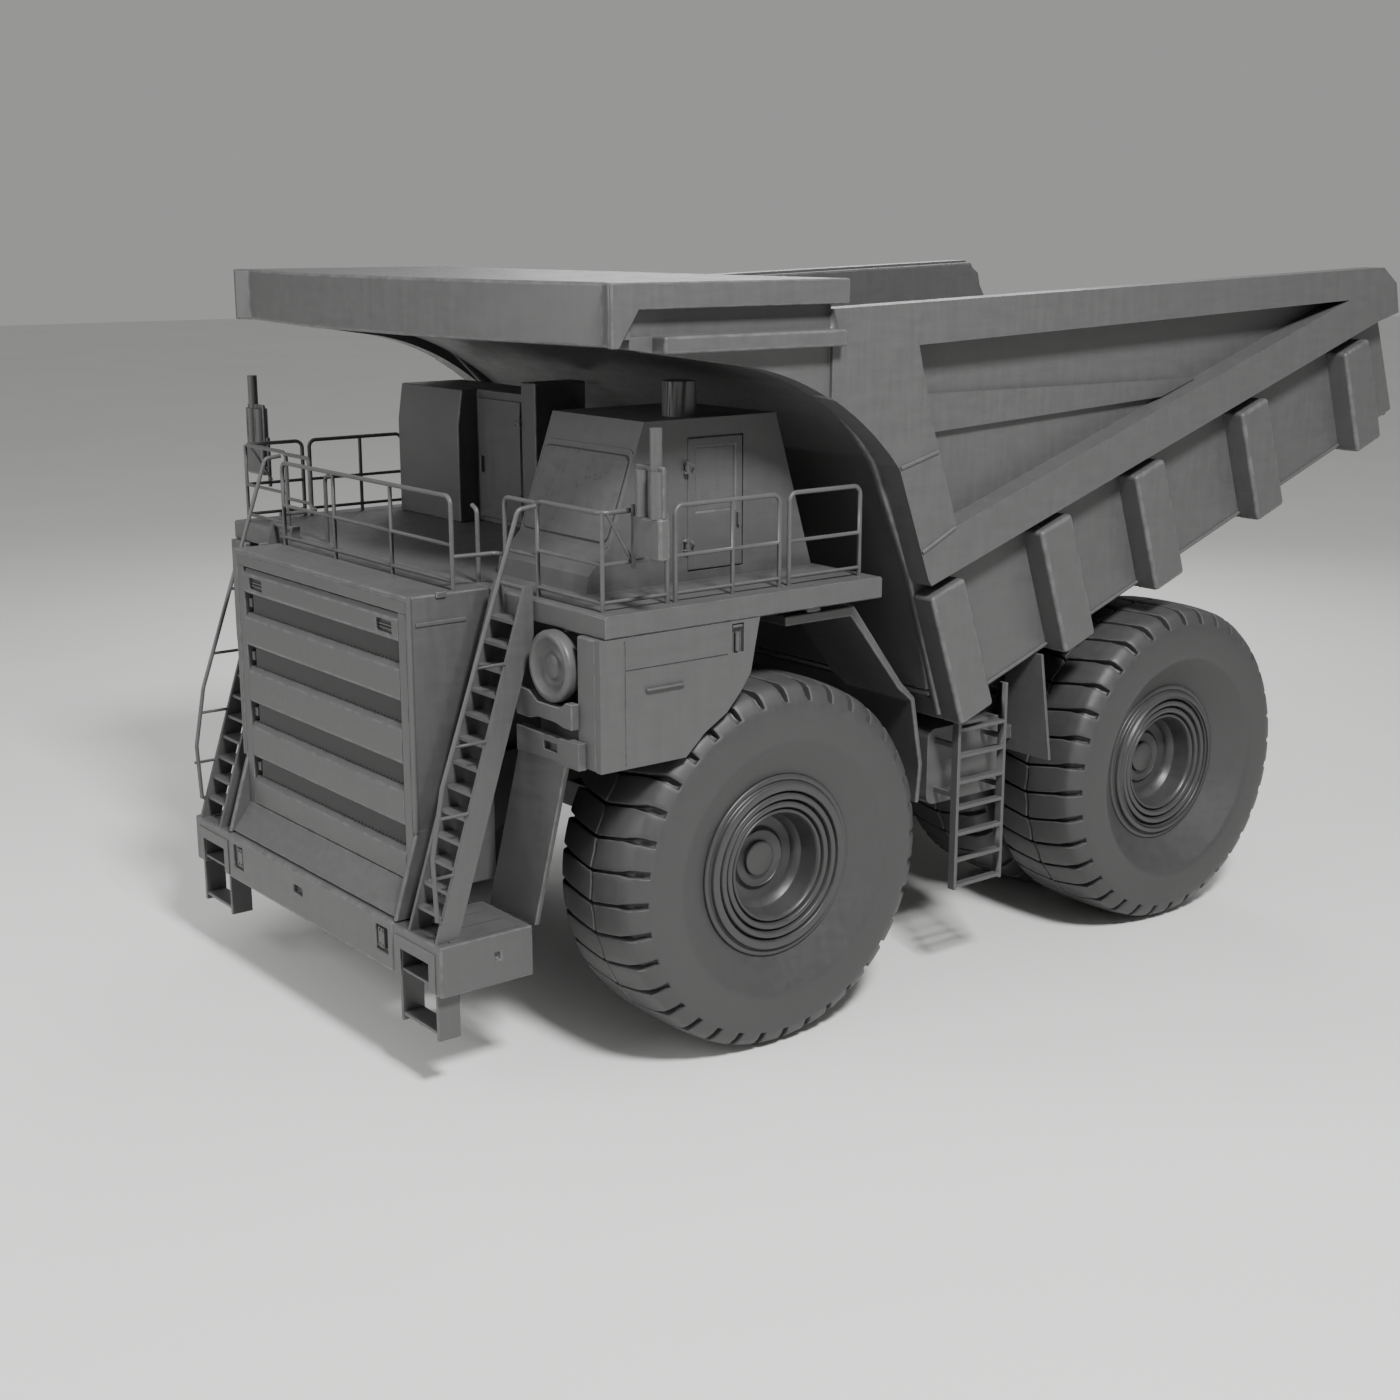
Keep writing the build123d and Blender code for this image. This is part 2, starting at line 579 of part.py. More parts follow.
# Cab: hollow shell with windows cut, roof pipe and hinge lugs
CAB_OUTLINE = (
    (1200, DECK_TOP), (680, CAB_ROOF), (-1050, CAB_ROOF), (-1500, 5400), (-1760, 5150), (-1790, DECK_TOP),
)
CAB_CAVITY = (
    (1110, DECK_TOP + 60), (625, CAB_ROOF - 80), (-1000, CAB_ROOF - 80), (-1420, 5400), (-1670, 5150),
    (-1700, DECK_TOP + 60),
)
SCREEN = (5450, 6350)
SCREEN_X = (CAB_INNER + 170, CAB_OUTER - 170)
INNER_WINDOW = ((-700, 400), (5600, 6350))
CAB_HINGE = (CAB_OUTER + HINGE_BARREL_R + 7, DOOR_SPAN[0] - 30)
CAB_HINGE_HEIGHTS = (5350, 6150)
with BuildPart() as cab:
    plate(CAB_OUTLINE, CAB_INNER, CAB_OUTER)
    plate(CAB_CAVITY, CAB_INNER + CAB_WALL, CAB_OUTER - CAB_WALL, mode=Mode.SUBTRACT)
    block((CAB_OUTER - CAB_WALL - 5, CAB_OUTER + 5), DOOR_SPAN, DOOR_HEIGHTS, mode=Mode.SUBTRACT)
    block(SCREEN_X, (-1700, -900), SCREEN, mode=Mode.SUBTRACT)
    block((CAB_INNER + 250, CAB_OUTER - 250), (600, 1250), (5800, 6350), mode=Mode.SUBTRACT)
    block((CAB_INNER - 5, CAB_INNER + CAB_WALL + 5), *INNER_WINDOW, mode=Mode.SUBTRACT)
    rod((2600, -350, CAB_ROOF), (2600, -350, CAB_ROOF + 360), 180)
    hinge_fixed(
        *CAB_HINGE, CAB_HINGE_HEIGHTS, (CAB_OUTER, CAB_HINGE[0] + HINGE_BARREL_R),
        (CAB_HINGE[1] - HINGE_BARREL_R, CAB_HINGE[1] + HINGE_BARREL_R),
    )
finish(cab, "cab_shell", "cab shell")

DOOR_EDGES = (DOOR_SPAN[0] + DOOR_GAP, DOOR_SPAN[1] - DOOR_GAP)
DOOR_WINDOW = ((DOOR_EDGES[0] + 110, DOOR_EDGES[1] - 110), (5680, DOOR_HEIGHTS[1] - 120))
with BuildPart() as cab_door:
    block(
        (CAB_OUTER - CAB_WALL + 10, CAB_OUTER), DOOR_EDGES, (DOOR_HEIGHTS[0] + DOOR_GAP, DOOR_HEIGHTS[1] - DOOR_GAP),
    )
    block((CAB_OUTER - CAB_WALL, CAB_OUTER + 5), *DOOR_WINDOW, mode=Mode.SUBTRACT)
    hinge_moving(
        *CAB_HINGE, CAB_HINGE_HEIGHTS, (CAB_OUTER, CAB_HINGE[0]), (CAB_HINGE[1], DOOR_EDGES[0] + 60),
    )
    block((CAB_OUTER, CAB_OUTER + 40), (DOOR_EDGES[1] - 90, DOOR_EDGES[1] - 60), (5500, 5640))
finish(cab_door, "cab_door", "cab door")

with BuildPart() as door_glass:
    block((CAB_OUTER - 45, CAB_OUTER - 20), *DOOR_WINDOW)
finish(door_glass, "cab_door_glass", "cab door glass")

# Window panes, seated in the middle of the wall
GLASS = 20
SCREEN_LEAN = (-1050 + 1500) / (CAB_ROOF - 5400)


def screen_station(height):
    """Station of the windscreen wall's outer face at a height."""
    return -1050 - SCREEN_LEAN * (CAB_ROOF - height)


with BuildPart() as cab_glass:
    low, high = (screen_station(height) + GLASS for height in SCREEN)
    plate(((low, SCREEN[0]), (high, SCREEN[1]), (high + GLASS, SCREEN[1]), (low + GLASS, SCREEN[0])), *SCREEN_X)
    block((CAB_INNER + 25, CAB_INNER + 25 + GLASS), *INNER_WINDOW)
finish(cab_glass, "cab_glass", "cab glass")

# Mirrors on posts clamped beside the corner rails
MIRROR_X = DECK_HALF + 135
MIRROR_POST_X = SIDE_RAIL_X + 2 * RAIL_TUBE + RUN_GAP
with BuildPart() as mirrors:
    block((MIRROR_X - 250, MIRROR_X + 250), (-1930, -1800), (5450, 6380))
    rod((MIRROR_X + 80, -1865, 6380), (MIRROR_X + 80, -1865, 6730), 60)
    rod((MIRROR_POST_X, -1865, RAIL_MID - 60), (MIRROR_POST_X, -1865, RAIL_TOP + 60), RAIL_TUBE)
    for height in (5600, 5850):
        rod((MIRROR_POST_X, -1865, height), (MIRROR_X - 200, -1865, height), RAIL_TUBE - 4)
    mirror(about=Plane.YZ)
finish(mirrors, "mirrors", "mirrors")

# Electrical cabinet on the truck's right, with the lugs of its door
CABINET_FACE = 100
CABINET_REAR = 780
CABINET_HINGE = (-1034, CABINET_FACE - 60)
CABINET_HINGE_HEIGHTS = (5350, 6250)
with BuildPart() as cabinet:
    plate(
        ((-200, DECK_TOP), (CABINET_REAR, DECK_TOP), (CABINET_REAR, 6600), (-130, 6600), (-200, 6150)), -3520, -2050,
    )
    block((-2050, -1000), (CABINET_FACE, CABINET_REAR), (DECK_TOP, 6600))
    block((-1000, -700), (50, CABINET_REAR), (DECK_TOP, 6750))
    hinge_fixed(
        *CABINET_HINGE, CABINET_HINGE_HEIGHTS, (CABINET_HINGE[0] - 20, -1000),
        (CABINET_HINGE[1] - 20, CABINET_FACE),
    )
finish(cabinet, "control_cabinet", "control cabinet")

LEAF_STATIONS = (CABINET_FACE - 40, CABINET_FACE - 5)
with BuildPart() as cabinet_door:
    block((-1980, CABINET_HINGE[0] - 26), LEAF_STATIONS, (DECK_TOP + 80, 6500))
    hinge_moving(
        *CABINET_HINGE, CABINET_HINGE_HEIGHTS, (CABINET_HINGE[0] - 120, CABINET_HINGE[0]),
        (CABINET_HINGE[1], LEAF_STATIONS[0]),
    )
    block((-1900, -1870), (LEAF_STATIONS[0] - 50, LEAF_STATIONS[0]), (5600, 5800))
finish(cabinet_door, "cabinet_door", "cabinet door")

# Air cleaners under the deck's front corners
AIR_FRONT = -2455
AIR_R = 350
with BuildPart() as air_cleaners:
    for _, sign in SIDES:
        x = sign * AIR_X
        rod((x, AIR_FRONT + 60, AIR_Z), (x, -1800, AIR_Z), AIR_R - 30)
        rod((x, AIR_FRONT, AIR_Z), (x, AIR_FRONT + 200, AIR_Z), AIR_R)
        rod((x, AIR_FRONT - 5, AIR_Z), (x, AIR_FRONT + 70, AIR_Z), AIR_R - 110, mode=Mode.SUBTRACT)
        rod((x, AIR_FRONT + 30, AIR_Z), (x, AIR_FRONT + 90, AIR_Z), 120)
        block(span(sign, AIR_X - 150, AIR_X + 150), (-2150, -1900), (AIR_Z + 200, DECK_LOW))
finish(air_cleaners, "air_cleaners", "air cleaners")

# Side boxes: skirt with the wheel arch, corner box, lamp housings and their sloping support
CORNER_INNER = SKIRT_X[0] - 400
CORNER_REAR = -1650
LAMP_HOUSINGS = (
    # inner x, outer x, low, high, front station
    (2610, 2860, 3790, 4000, -2450), (2860, 3200, 3830, 3960, -2420), (3200, CORNER_INNER, 3760, 4000, -2450),
    (2610, CORNER_INNER, 3440, 3740, -2450),
)
with BuildPart() as side_boxes:
    plate(
        ((CORNER_FRONT, DECK_LOW), (CORNER_FRONT, SKIRT_LOW), (-1250, SKIRT_LOW), (-300, DECK_LOW)), *SKIRT_X,
    )
    rod((SKIRT_X[0] - 5, 0, TYRE_R), (SKIRT_X[1] + 5, 0, TYRE_R), ARCH_R, mode=Mode.SUBTRACT)
    block((CORNER_INNER, SKIRT_X[0]), (CORNER_FRONT, CORNER_REAR), (SKIRT_LOW, DECK_LOW))
    for inner, outer, low, high, front in LAMP_HOUSINGS:
        block((inner, outer), (front, -1980), (low, high))
    block((2700, 3400), (-2200, -2000), (3700, 3800))
    cross_plate(((1990, STEP_BOX_HIGH), (2860, STEP_BOX_HIGH), (CORNER_INNER - 20, 3445), (2620, 3445)), -2500, -2430)
    mirror(about=Plane.YZ)
finish(side_boxes, "side_boxes", "side boxes with lamp housings")

# Fenders behind the front wheels, hung from the deck's rear beam
FENDER_OUTLINE = (
    (400, DECK_BEAM_LOW), (1380, DECK_BEAM_LOW), (2120, 3600), (2330, 3400), (2480, 2600), (2440, 2150),
    (2380, 2150), (2420, 2600), (2270, 3370), (2060, 3540), (1330, DECK_BEAM_LOW - 110), (400, DECK_BEAM_LOW - 110),
)
with BuildPart() as fenders:
    plate(FENDER_OUTLINE, 2350, 3450)
    mirror(about=Plane.YZ)
finish(fenders, "front_fenders", "front fenders")

# Side tanks on brackets, each with a ladder and a guard plate ahead of the rear tyre
TANK_OUTER = 3350
GUARD_STATION = WHEELBASE - TYRE_R - 320
TANK_LENGTH = 1250
TANK_REAR = GUARD_STATION - 230
TANK_SPAN = (TANK_REAR - TANK_LENGTH, TANK_REAR)
TANK_HEIGHTS = (2050, 2950)
LADDER_X = (3630, 3730)
LADDER_STATIONS = (TANK_REAR - 1145, TANK_REAR - 400)
LADDER_TOPS = (3090, 3450)
with BuildPart() as tanks:
    block((RAIL_OUTER + 370, TANK_OUTER), TANK_SPAN, TANK_HEIGHTS)
    fillet(tanks.edges().filter_by(Axis.X), 120)
    for station in (TANK_SPAN[0] + 200, TANK_REAR - 300):
        block((RAIL_OUTER, RAIL_OUTER + 400), (station, station + 100), (2300, 2700))
    for station, top in zip(LADDER_STATIONS, LADDER_TOPS):
        block(LADDER_X, (station, station + 45), (1100, top))
        block((TANK_OUTER, LADDER_X[1]), (station, station + 45), (2200, 2260))
        block((TANK_OUTER, LADDER_X[1]), (station, station + 45), (2780, 2840))
    for index in range(7):
        height = 1120 + index * 310
        block(LADDER_X, (LADDER_STATIONS[0] + 45, LADDER_STATIONS[1]), (height, height + 40))
    block((3180, 3260), (TANK_REAR - 30, GUARD_STATION), (2600, 2760))
    cross_plate(((3130, 2450), (3870, 2450), (3690, 3690), (3130, 3690)), GUARD_STATION, GUARD_STATION + 40)
    mirror(about=Plane.YZ)
finish(tanks, "side_tanks", "side tanks with ladders")

# Dump body floor
with BuildPart() as body_floor:
    floor_plate(((0, FLOOR_LENGTH), (BOLSTER_DEPTH, BOLSTER_DEPTH + FLOOR_THICK)), -BODY_INNER, BODY_INNER)
    floor_plate(((FLOOR_LENGTH - 60, FLOOR_LENGTH), (0, BOLSTER_DEPTH)), -BODY_INNER, BODY_INNER)
finish(body_floor, "body_floor", "dump body floor")

# Ribs: a bolster under the floor and a stake up each side, in one bent piece
WALL_OUTER = BODY_INNER + BODY_WALL
WALL_LOW = 70
RIBS = (
    # distance along the floor, height of the stakes
    (80, 1600), (1830, 1560), (3480, 1510), (5530, 1450), (7730, 1380),
)
with BuildPart() as ribs:
    for along, top in RIBS:
        rib_span = (along, along + RIB_WIDTH)
        floor_plate((rib_span, (0, BOLSTER_DEPTH)), -BODY_INNER, BODY_INNER)
        for _, sign in SIDES:
            floor_plate((rib_span, (0, WALL_LOW)), *span(sign, BODY_INNER, WALL_OUTER))
            floor_plate((rib_span, (0, top)), *span(sign, WALL_OUTER, BODY_HALF))
    edges = ribs.edges().filter_by(Axis((0, 0, 0), (0, -math.sin(math.radians(FLOOR_SLOPE)), math.cos(math.radians(FLOOR_SLOPE)))))
    chamfer(edges.group_by(Axis.X)[0] + edges.group_by(Axis.X)[-1], 30)
finish(ribs, "body_side_ribs", "dump body ribs")

# Side walls with a thicker strip along the floor
TAIL_TOP = (10200, 8000)
with BuildPart() as side_walls:
    plate(
        (
            floor_point(0, WALL_LOW), floor_point(FLOOR_LENGTH, WALL_LOW), (10520, 7500), TAIL_TOP, (620, 7700),
            (600, 6990), (1210, 6410), (1470, 6100), (2040, 4830),
        ),
        BODY_INNER, WALL_OUTER,
    )
    mirror(about=Plane.YZ)
finish(side_walls, "body_side_walls", "dump body side walls")


# The front curve runs under the canopy and down the post; depth shifts it up and rearwards
CURVE_FRONT = (-1900, 7427)
CURVE_KNEE = (-400, 7200)
CURVE_MIDDLE = (830, 6710)
CURVE_END = (1570, 6060)
POST_FOOT = (2040, 4830)


def front_curve(depth, front):
    """Line, arc and line of the body's front, starting at a station."""
    knee = (at(CURVE_KNEE[0] + 0.15 * depth), CURVE_KNEE[1] + depth)
    middle = (at(CURVE_MIDDLE[0] + 0.55 * depth), CURVE_MIDDLE[1] + 0.83 * depth)
    end = (at(CURVE_END[0] + 0.93 * depth), CURVE_END[1] + 0.37 * depth)
    foot = (at(POST_FOOT[0] + depth), POST_FOOT[1])
    start = (at(front), CURVE_FRONT[1] + depth)
    return start, knee, middle, end, foot


with BuildPart() as side_frames:
    # forward web under the canopy, with the ledge over it
    start, knee, middle, end, foot = front_curve(0, CURVE_FRONT[0])
    with BuildSketch(Plane.YZ.offset(WALL_OUTER)) as web:
        with BuildLine():
            Line(start, knee)
            ThreePointArc(knee, middle, end)
            Polyline(end, (at(1900), CURVE_END[1]), (at(900), 7540), (at(-1900), 7540), start)
        make_face()
    extrude(web.sketch, amount=250)
    plate(((-1530, 7380), (660, 7380), (660, 7540), (-1530, 7540)), WALL_OUTER, BODY_HALF + 50)
    # top rail, post and diagonal beam round the open triangle
    with BuildSketch(Plane.YZ.offset(WALL_OUTER)) as frame:
        with BuildLine():
            Line(start, knee)
            ThreePointArc(knee, middle, end)
            Polyline(
                end, foot, (at(2090), 4760), (at(10140), 7350), (at(10560), 7450), (at(10460), 7830),
                (at(10150), 8030), (at(620), 7740), (at(660), 7540), start,
            )
        make_face()
        with BuildLine():
            Polyline((at(1810), 7340), (at(2020), 6550), (at(2450), 5380), (at(9440), 7630), close=True)
        make_face(mode=Mode.SUBTRACT)
        with BuildLine():
            Polyline((at(-2100), 7600), (at(-2100), 6500), (at(600), 6500), (at(600), 7600), close=True)
        make_face(mode=Mode.SUBTRACT)
    extrude(frame.sketch, amount=BODY_HALF - WALL_OUTER)
    mirror(about=Plane.YZ)
finish(side_frames, "body_side_frames", "dump body side frames")

# Front wall: the curved sheet under the canopy and down to the floor, and the upright wall behind it
SHEET_IN = 90
SHEET_FRONT = -1900
UPRIGHT = 700
with BuildPart() as front_wall:
    outer = front_curve(SHEET_IN, SHEET_FRONT)
    inner = front_curve(SHEET_IN + SHEET_THICK, SHEET_FRONT)
    floor_outer = floor_point(0, BOLSTER_DEPTH + FLOOR_THICK)
    floor_inner = floor_point(SHEET_THICK, BOLSTER_DEPTH + FLOOR_THICK)
    with BuildSketch(Plane.YZ.offset(-BODY_INNER)) as sheet:
        with BuildLine():
            Line(outer[0], outer[1])
            ThreePointArc(*outer[1:4])
            Polyline(
                outer[3], outer[4], (at(floor_outer[0]), floor_outer[1]), (at(floor_inner[0]), floor_inner[1]),
                inner[4], inner[3],
            )
            ThreePointArc(*reversed(inner[1:4]))
            Polyline(inner[1], inner[0], outer[0])
        make_face()
    extrude(sheet.sketch, amount=2 * BODY_INNER)
    plate(
        ((UPRIGHT, 6900), (UPRIGHT + SHEET_THICK, 6900), (UPRIGHT + SHEET_THICK, CANOPY_TOP - CANOPY_THICK),
         (UPRIGHT, CANOPY_TOP - CANOPY_THICK)),
        -BODY_INNER, BODY_INNER,
    )
finish(front_wall, "body_front_wall", "dump body front wall")

# Canopy: roof, front lip, underside strip, side fascias and the recessed walls between fascia and ledge
CANOPY_HALF = BODY_HALF + 50
CANOPY_PLAN = (
    # half width, station
    (CANOPY_HALF, CANOPY_REAR), (CANOPY_HALF, -1950), (CANOPY_HALF - 230, -2120), (1300, -2450),
)


def canopy_plan(inset, rear):
    """Canopy's plan outline, inset from its front and sides, back to a station."""
    front = [(x - inset, at(station + inset)) for x, station in CANOPY_PLAN[2:]]
    side = [(CANOPY_HALF - inset, at(rear)), (CANOPY_HALF - inset, at(CANOPY_PLAN[1][1] + inset / 3))]
    half = side + front
    return half + [(-x, y) for x, y in reversed(half)]


with BuildPart() as canopy:
    with BuildSketch(Plane.XY.offset(CANOPY_TOP - CANOPY_THICK)) as roof:
        with BuildLine():
            Polyline(canopy_plan(0, CANOPY_REAR), close=True)
        make_face()
    extrude(roof.sketch, amount=CANOPY_THICK)
    with BuildSketch(Plane.XY.offset(CANOPY_LIP_LOW)) as lip:
        with BuildLine():
            Polyline(canopy_plan(0, -1880), close=True)
        make_face()
        with BuildLine():
            Polyline(canopy_plan(CANOPY_THICK, -1800), close=True)
        make_face(mode=Mode.SUBTRACT)
    extrude(lip.sketch, amount=CANOPY_TOP - CANOPY_THICK - CANOPY_LIP_LOW)
    with BuildSketch(Plane.XY.offset(CURVE_FRONT[1] + SHEET_IN)) as underside:
        with BuildLine():
            Polyline(canopy_plan(CANOPY_THICK, SHEET_FRONT), close=True)
        make_face()
    extrude(underside.sketch, amount=SHEET_THICK)
    for _, sign in SIDES:
        block(
            span(sign, CANOPY_HALF - CANOPY_THICK, CANOPY_HALF), (-1880, CANOPY_REAR),
            (7790, CANOPY_TOP - CANOPY_THICK),
        )
        block(
            span(sign, BODY_INNER, WALL_OUTER), (SHEET_FRONT, 600),
            (7540, CANOPY_TOP - CANOPY_THICK),
        )
finish(canopy, "body_canopy", "dump body canopy")

# Long beams under the ribs, with the tail pivot's ears and pin and the hoists' upper ears
EAR_X = (RAIL_OUTER + 10, RAIL_OUTER + 130)
HOIST_EARS = (HOIST_X - 140, HOIST_X + 100)
HOIST_EAR_THICK = 40
with BuildPart() as body_beams:
    plate(
        (
            (2750, 2885), (7700, 4465), (8560, 4465), floor_point(6600, 0), floor_point(100, 0),
        ),
        RAIL_INNER, RAIL_OUTER,
    )
    plate(
        (floor_point(5600, 0), floor_point(6600, 0), (PIVOT_STATION + 210, PIVOT_Z - 30),
         (PIVOT_STATION + 90, PIVOT_Z - 190), (PIVOT_STATION - 90, PIVOT_Z - 190), (PIVOT_STATION - 210, PIVOT_Z - 30)),
        *EAR_X,
    )
    block((RAIL_OUTER - 10, RAIL_OUTER + 20), (7950, 8450), (4600, 4850))
    for x in HOIST_EARS:
        plate(
            (floor_point(1840, 0), floor_point(2240, 0), (HOIST_HEAD[0] + 90, HOIST_HEAD[1] - 90),
             (HOIST_HEAD[0] - 90, HOIST_HEAD[1] - 90)),
            x, x + HOIST_EAR_THICK,
        )
    floor_plate(((1900, 2180), (-60, 0)), RAIL_OUTER, HOIST_EARS[1] + HOIST_EAR_THICK)
    mirror(about=Plane.YZ)
    rod((-EAR_X[1], PIVOT_STATION, PIVOT_Z), (EAR_X[1], PIVOT_STATION, PIVOT_Z), PIVOT_R)
finish(body_beams, "body_beams", "dump body beams")

# Hoist cylinders: barrel and two telescoping stages
HOIST_BASE = (HOIST_HEAD[0] - HOIST_FOOT[0], HOIST_HEAD[1] - HOIST_FOOT[1])
HOIST_LENGTH = math.hypot(*HOIST_BASE)


def hoist_point(x, along):
    """Point on a hoist's axis, a distance from its lower pin."""
    share = along / HOIST_LENGTH
    return (x, HOIST_FOOT[0] + HOIST_BASE[0] * share, HOIST_FOOT[1] + HOIST_BASE[1] * share)


BARREL_TOP = 1890
STAGE_ONE_SPAN = (340, 1940)
STAGE_TWO_FOOT = 300
for side, sign in SIDES:
    x = sign * HOIST_X
    with BuildPart() as barrel:
        rod(hoist_point(x, 120), hoist_point(x, BARREL_TOP), HOIST_R)
        rod((x - 120, *HOIST_FOOT), (x + 120, *HOIST_FOOT), 130)
        rod(hoist_point(x, 250), hoist_point(x, BARREL_TOP + 5), STAGE_ONE_R + SLIDE_GAP, mode=Mode.SUBTRACT)
        rod((x - 130, *HOIST_FOOT), (x + 130, *HOIST_FOOT), HOIST_PIN_R + RUN_GAP, mode=Mode.SUBTRACT)
    finish(barrel, f"hoist_barrel_{side}", f"hoist barrel {side}")

    with BuildPart() as stage_one:
        rod(hoist_point(x, STAGE_ONE_SPAN[0]), hoist_point(x, STAGE_ONE_SPAN[1]), STAGE_ONE_R)
        rod(
            hoist_point(x, STAGE_TWO_FOOT - 20), hoist_point(x, STAGE_ONE_SPAN[1] + 5), STAGE_TWO_R + SLIDE_GAP,
            mode=Mode.SUBTRACT,
        )
    finish(stage_one, f"hoist_tube_{side}", f"hoist tube {side}")

    with BuildPart() as stage_two:
        rod(hoist_point(x, STAGE_ONE_SPAN[0] + 40), hoist_point(x, HOIST_LENGTH), STAGE_TWO_R)
        rod((x - 90, *HOIST_HEAD), (x + 90, *HOIST_HEAD), 100)
    finish(stage_two, f"hoist_rod_{side}", f"hoist rod {side}")
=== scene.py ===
"""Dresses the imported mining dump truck: treaded tyres, ringed rims, softened plates, paint and light."""
import json
import math

import bmesh
import bpy
from mathutils import Matrix, Vector

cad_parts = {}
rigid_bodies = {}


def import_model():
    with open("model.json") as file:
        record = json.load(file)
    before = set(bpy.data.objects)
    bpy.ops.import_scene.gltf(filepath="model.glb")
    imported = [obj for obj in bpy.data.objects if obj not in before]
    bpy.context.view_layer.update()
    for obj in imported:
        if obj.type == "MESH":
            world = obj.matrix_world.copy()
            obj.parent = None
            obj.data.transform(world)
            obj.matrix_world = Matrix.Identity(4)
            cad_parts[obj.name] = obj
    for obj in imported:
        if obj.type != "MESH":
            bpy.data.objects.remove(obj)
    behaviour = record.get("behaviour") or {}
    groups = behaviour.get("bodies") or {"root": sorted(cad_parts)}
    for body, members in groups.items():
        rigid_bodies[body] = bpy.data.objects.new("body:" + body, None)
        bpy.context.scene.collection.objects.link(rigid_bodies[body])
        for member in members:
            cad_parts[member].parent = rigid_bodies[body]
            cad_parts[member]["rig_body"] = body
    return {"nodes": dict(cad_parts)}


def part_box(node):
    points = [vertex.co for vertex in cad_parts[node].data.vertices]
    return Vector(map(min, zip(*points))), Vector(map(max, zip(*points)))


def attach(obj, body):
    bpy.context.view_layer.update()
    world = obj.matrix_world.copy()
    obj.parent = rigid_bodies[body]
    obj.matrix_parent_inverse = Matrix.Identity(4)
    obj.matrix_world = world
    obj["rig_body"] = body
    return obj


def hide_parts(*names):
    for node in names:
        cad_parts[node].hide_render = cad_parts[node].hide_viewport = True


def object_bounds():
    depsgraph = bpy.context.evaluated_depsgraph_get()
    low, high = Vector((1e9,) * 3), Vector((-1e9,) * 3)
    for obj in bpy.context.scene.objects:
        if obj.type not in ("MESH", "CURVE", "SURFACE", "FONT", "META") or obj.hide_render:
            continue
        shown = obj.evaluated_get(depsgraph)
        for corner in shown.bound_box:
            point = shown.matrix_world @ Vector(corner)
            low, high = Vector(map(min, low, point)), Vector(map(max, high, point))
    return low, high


bl_info = {
    "name": "Mining dump truck dresser",
    "version": (1, 1, 0),
    "blender": (4, 5, 0),
    "location": "3D View > Sidebar > Dump truck",
    "description": "Builds the looks of a mining dump truck over its packed frame",
    "category": "Object",
}

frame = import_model()
CAD_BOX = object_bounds()
BODY_OF = {node: piece["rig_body"] for node, piece in frame["nodes"].items()}

# Camera of the photograph, in metres and degrees
CAMERA_PLACE = Vector((18.631, -16.466, 8.523))
CAMERA_AZIMUTH = 51.771
CAMERA_PITCH = 13.639
CAMERA_LENS = 50.0
CAMERA_SENSOR = 36.0

# Tolerances in metres, and angles between faces
MERGE = 1e-5
CUT = 1e-6
ON_PLANE = 1e-4
FLAT_ANGLE = math.radians(1.0)
EDGE_ANGLE = math.radians(30.0)
SHARP_ANGLE = math.radians(62.0)
# Face layer of rounded edges: they get the lighter edge grey, partly rubbed paint and partly painted
# highlight
EDGE_LAYER = "worn_edge"
X, Y, Z = 0, 1, 2

# Wheels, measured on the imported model
TYRE_LOW, TYRE_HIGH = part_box("front_tyre_left")
TYRE_WIDTH = TYRE_HIGH.x - TYRE_LOW.x
TYRE_R = (TYRE_HIGH.z - TYRE_LOW.z) / 2
OUTER_FACE = TYRE_HIGH.x
WHEEL_Z = (TYRE_HIGH.z + TYRE_LOW.z) / 2
FRONT_Y = (TYRE_HIGH.y + TYRE_LOW.y) / 2
REAR_LOW, REAR_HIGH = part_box("rear_tyres_left")
REAR_Y = (REAR_HIGH.y + REAR_LOW.y) / 2
INNER_FACE = REAR_LOW.x + TYRE_WIDTH


def size(label, text, value, top=1.0):
    """Length property in metres."""
    return bpy.props.FloatProperty(
        name=label, description=text, default=value, min=0.0, max=top, subtype="DISTANCE", unit="LENGTH"
    )


def tint(label, text, value):
    """Colour property."""
    return bpy.props.FloatVectorProperty(
        name=label, description=text, default=value, size=3, min=0.0, max=1.0, subtype="COLOR"
    )


def power(label, text, value):
    """Strength of a light."""
    return bpy.props.FloatProperty(name=label, description=text, default=value, min=0.0)


class TruckPaint(bpy.types.PropertyGroup):
    """Colours of the finishes, and the lighter grey of rubbed paint and painted highlights on edges."""

    plate: tint("Plate paint", "Grey of the dump body and the sheet metal", (0.074, 0.074, 0.074))
    chassis: tint("Chassis paint", "Grey of the frame, axles and steps", (0.068, 0.068, 0.068))
    rubber: tint("Rubber", "Grey of the tyres", (0.040, 0.040, 0.040))
    rim: tint("Rim paint", "Grey of the rims and hubs", (0.036, 0.036, 0.036))
    # Near-black rubber gasket round the windscreen: darker than the tyre rubber, as painted shade of the gap
    # round the pane
    seal_and_gap_shade: tint("Seal and gap shade", "Near-black rubber round the windscreen, also painted shade of the gap", (0.014, 0.014, 0.014))
    glass: tint("Glass", "Grey of the window panes", (0.078, 0.078, 0.079))
    steel: tint("Cylinder steel", "Grey of the sliding rods", (0.30, 0.30, 0.30))
    # Lighter edge grey: rubbed paint and a painted highlight along the rounded edges
    worn_and_highlight_grey: tint("Worn edge and painted highlight", "Lighter grey of rubbed paint and painted highlight on edges", (0.125, 0.125, 0.125))
    dust: tint("Dust", "Settled dust on upward faces", (0.088, 0.088, 0.087))
    # How strongly the rounded edges are lightened, as rubbed paint and painted highlight
    wear_and_highlight: bpy.props.FloatProperty(
        name="Wear", description="Share of an edge lightened by rubbing and painted highlight", default=0.6, min=0, max=1,
    )


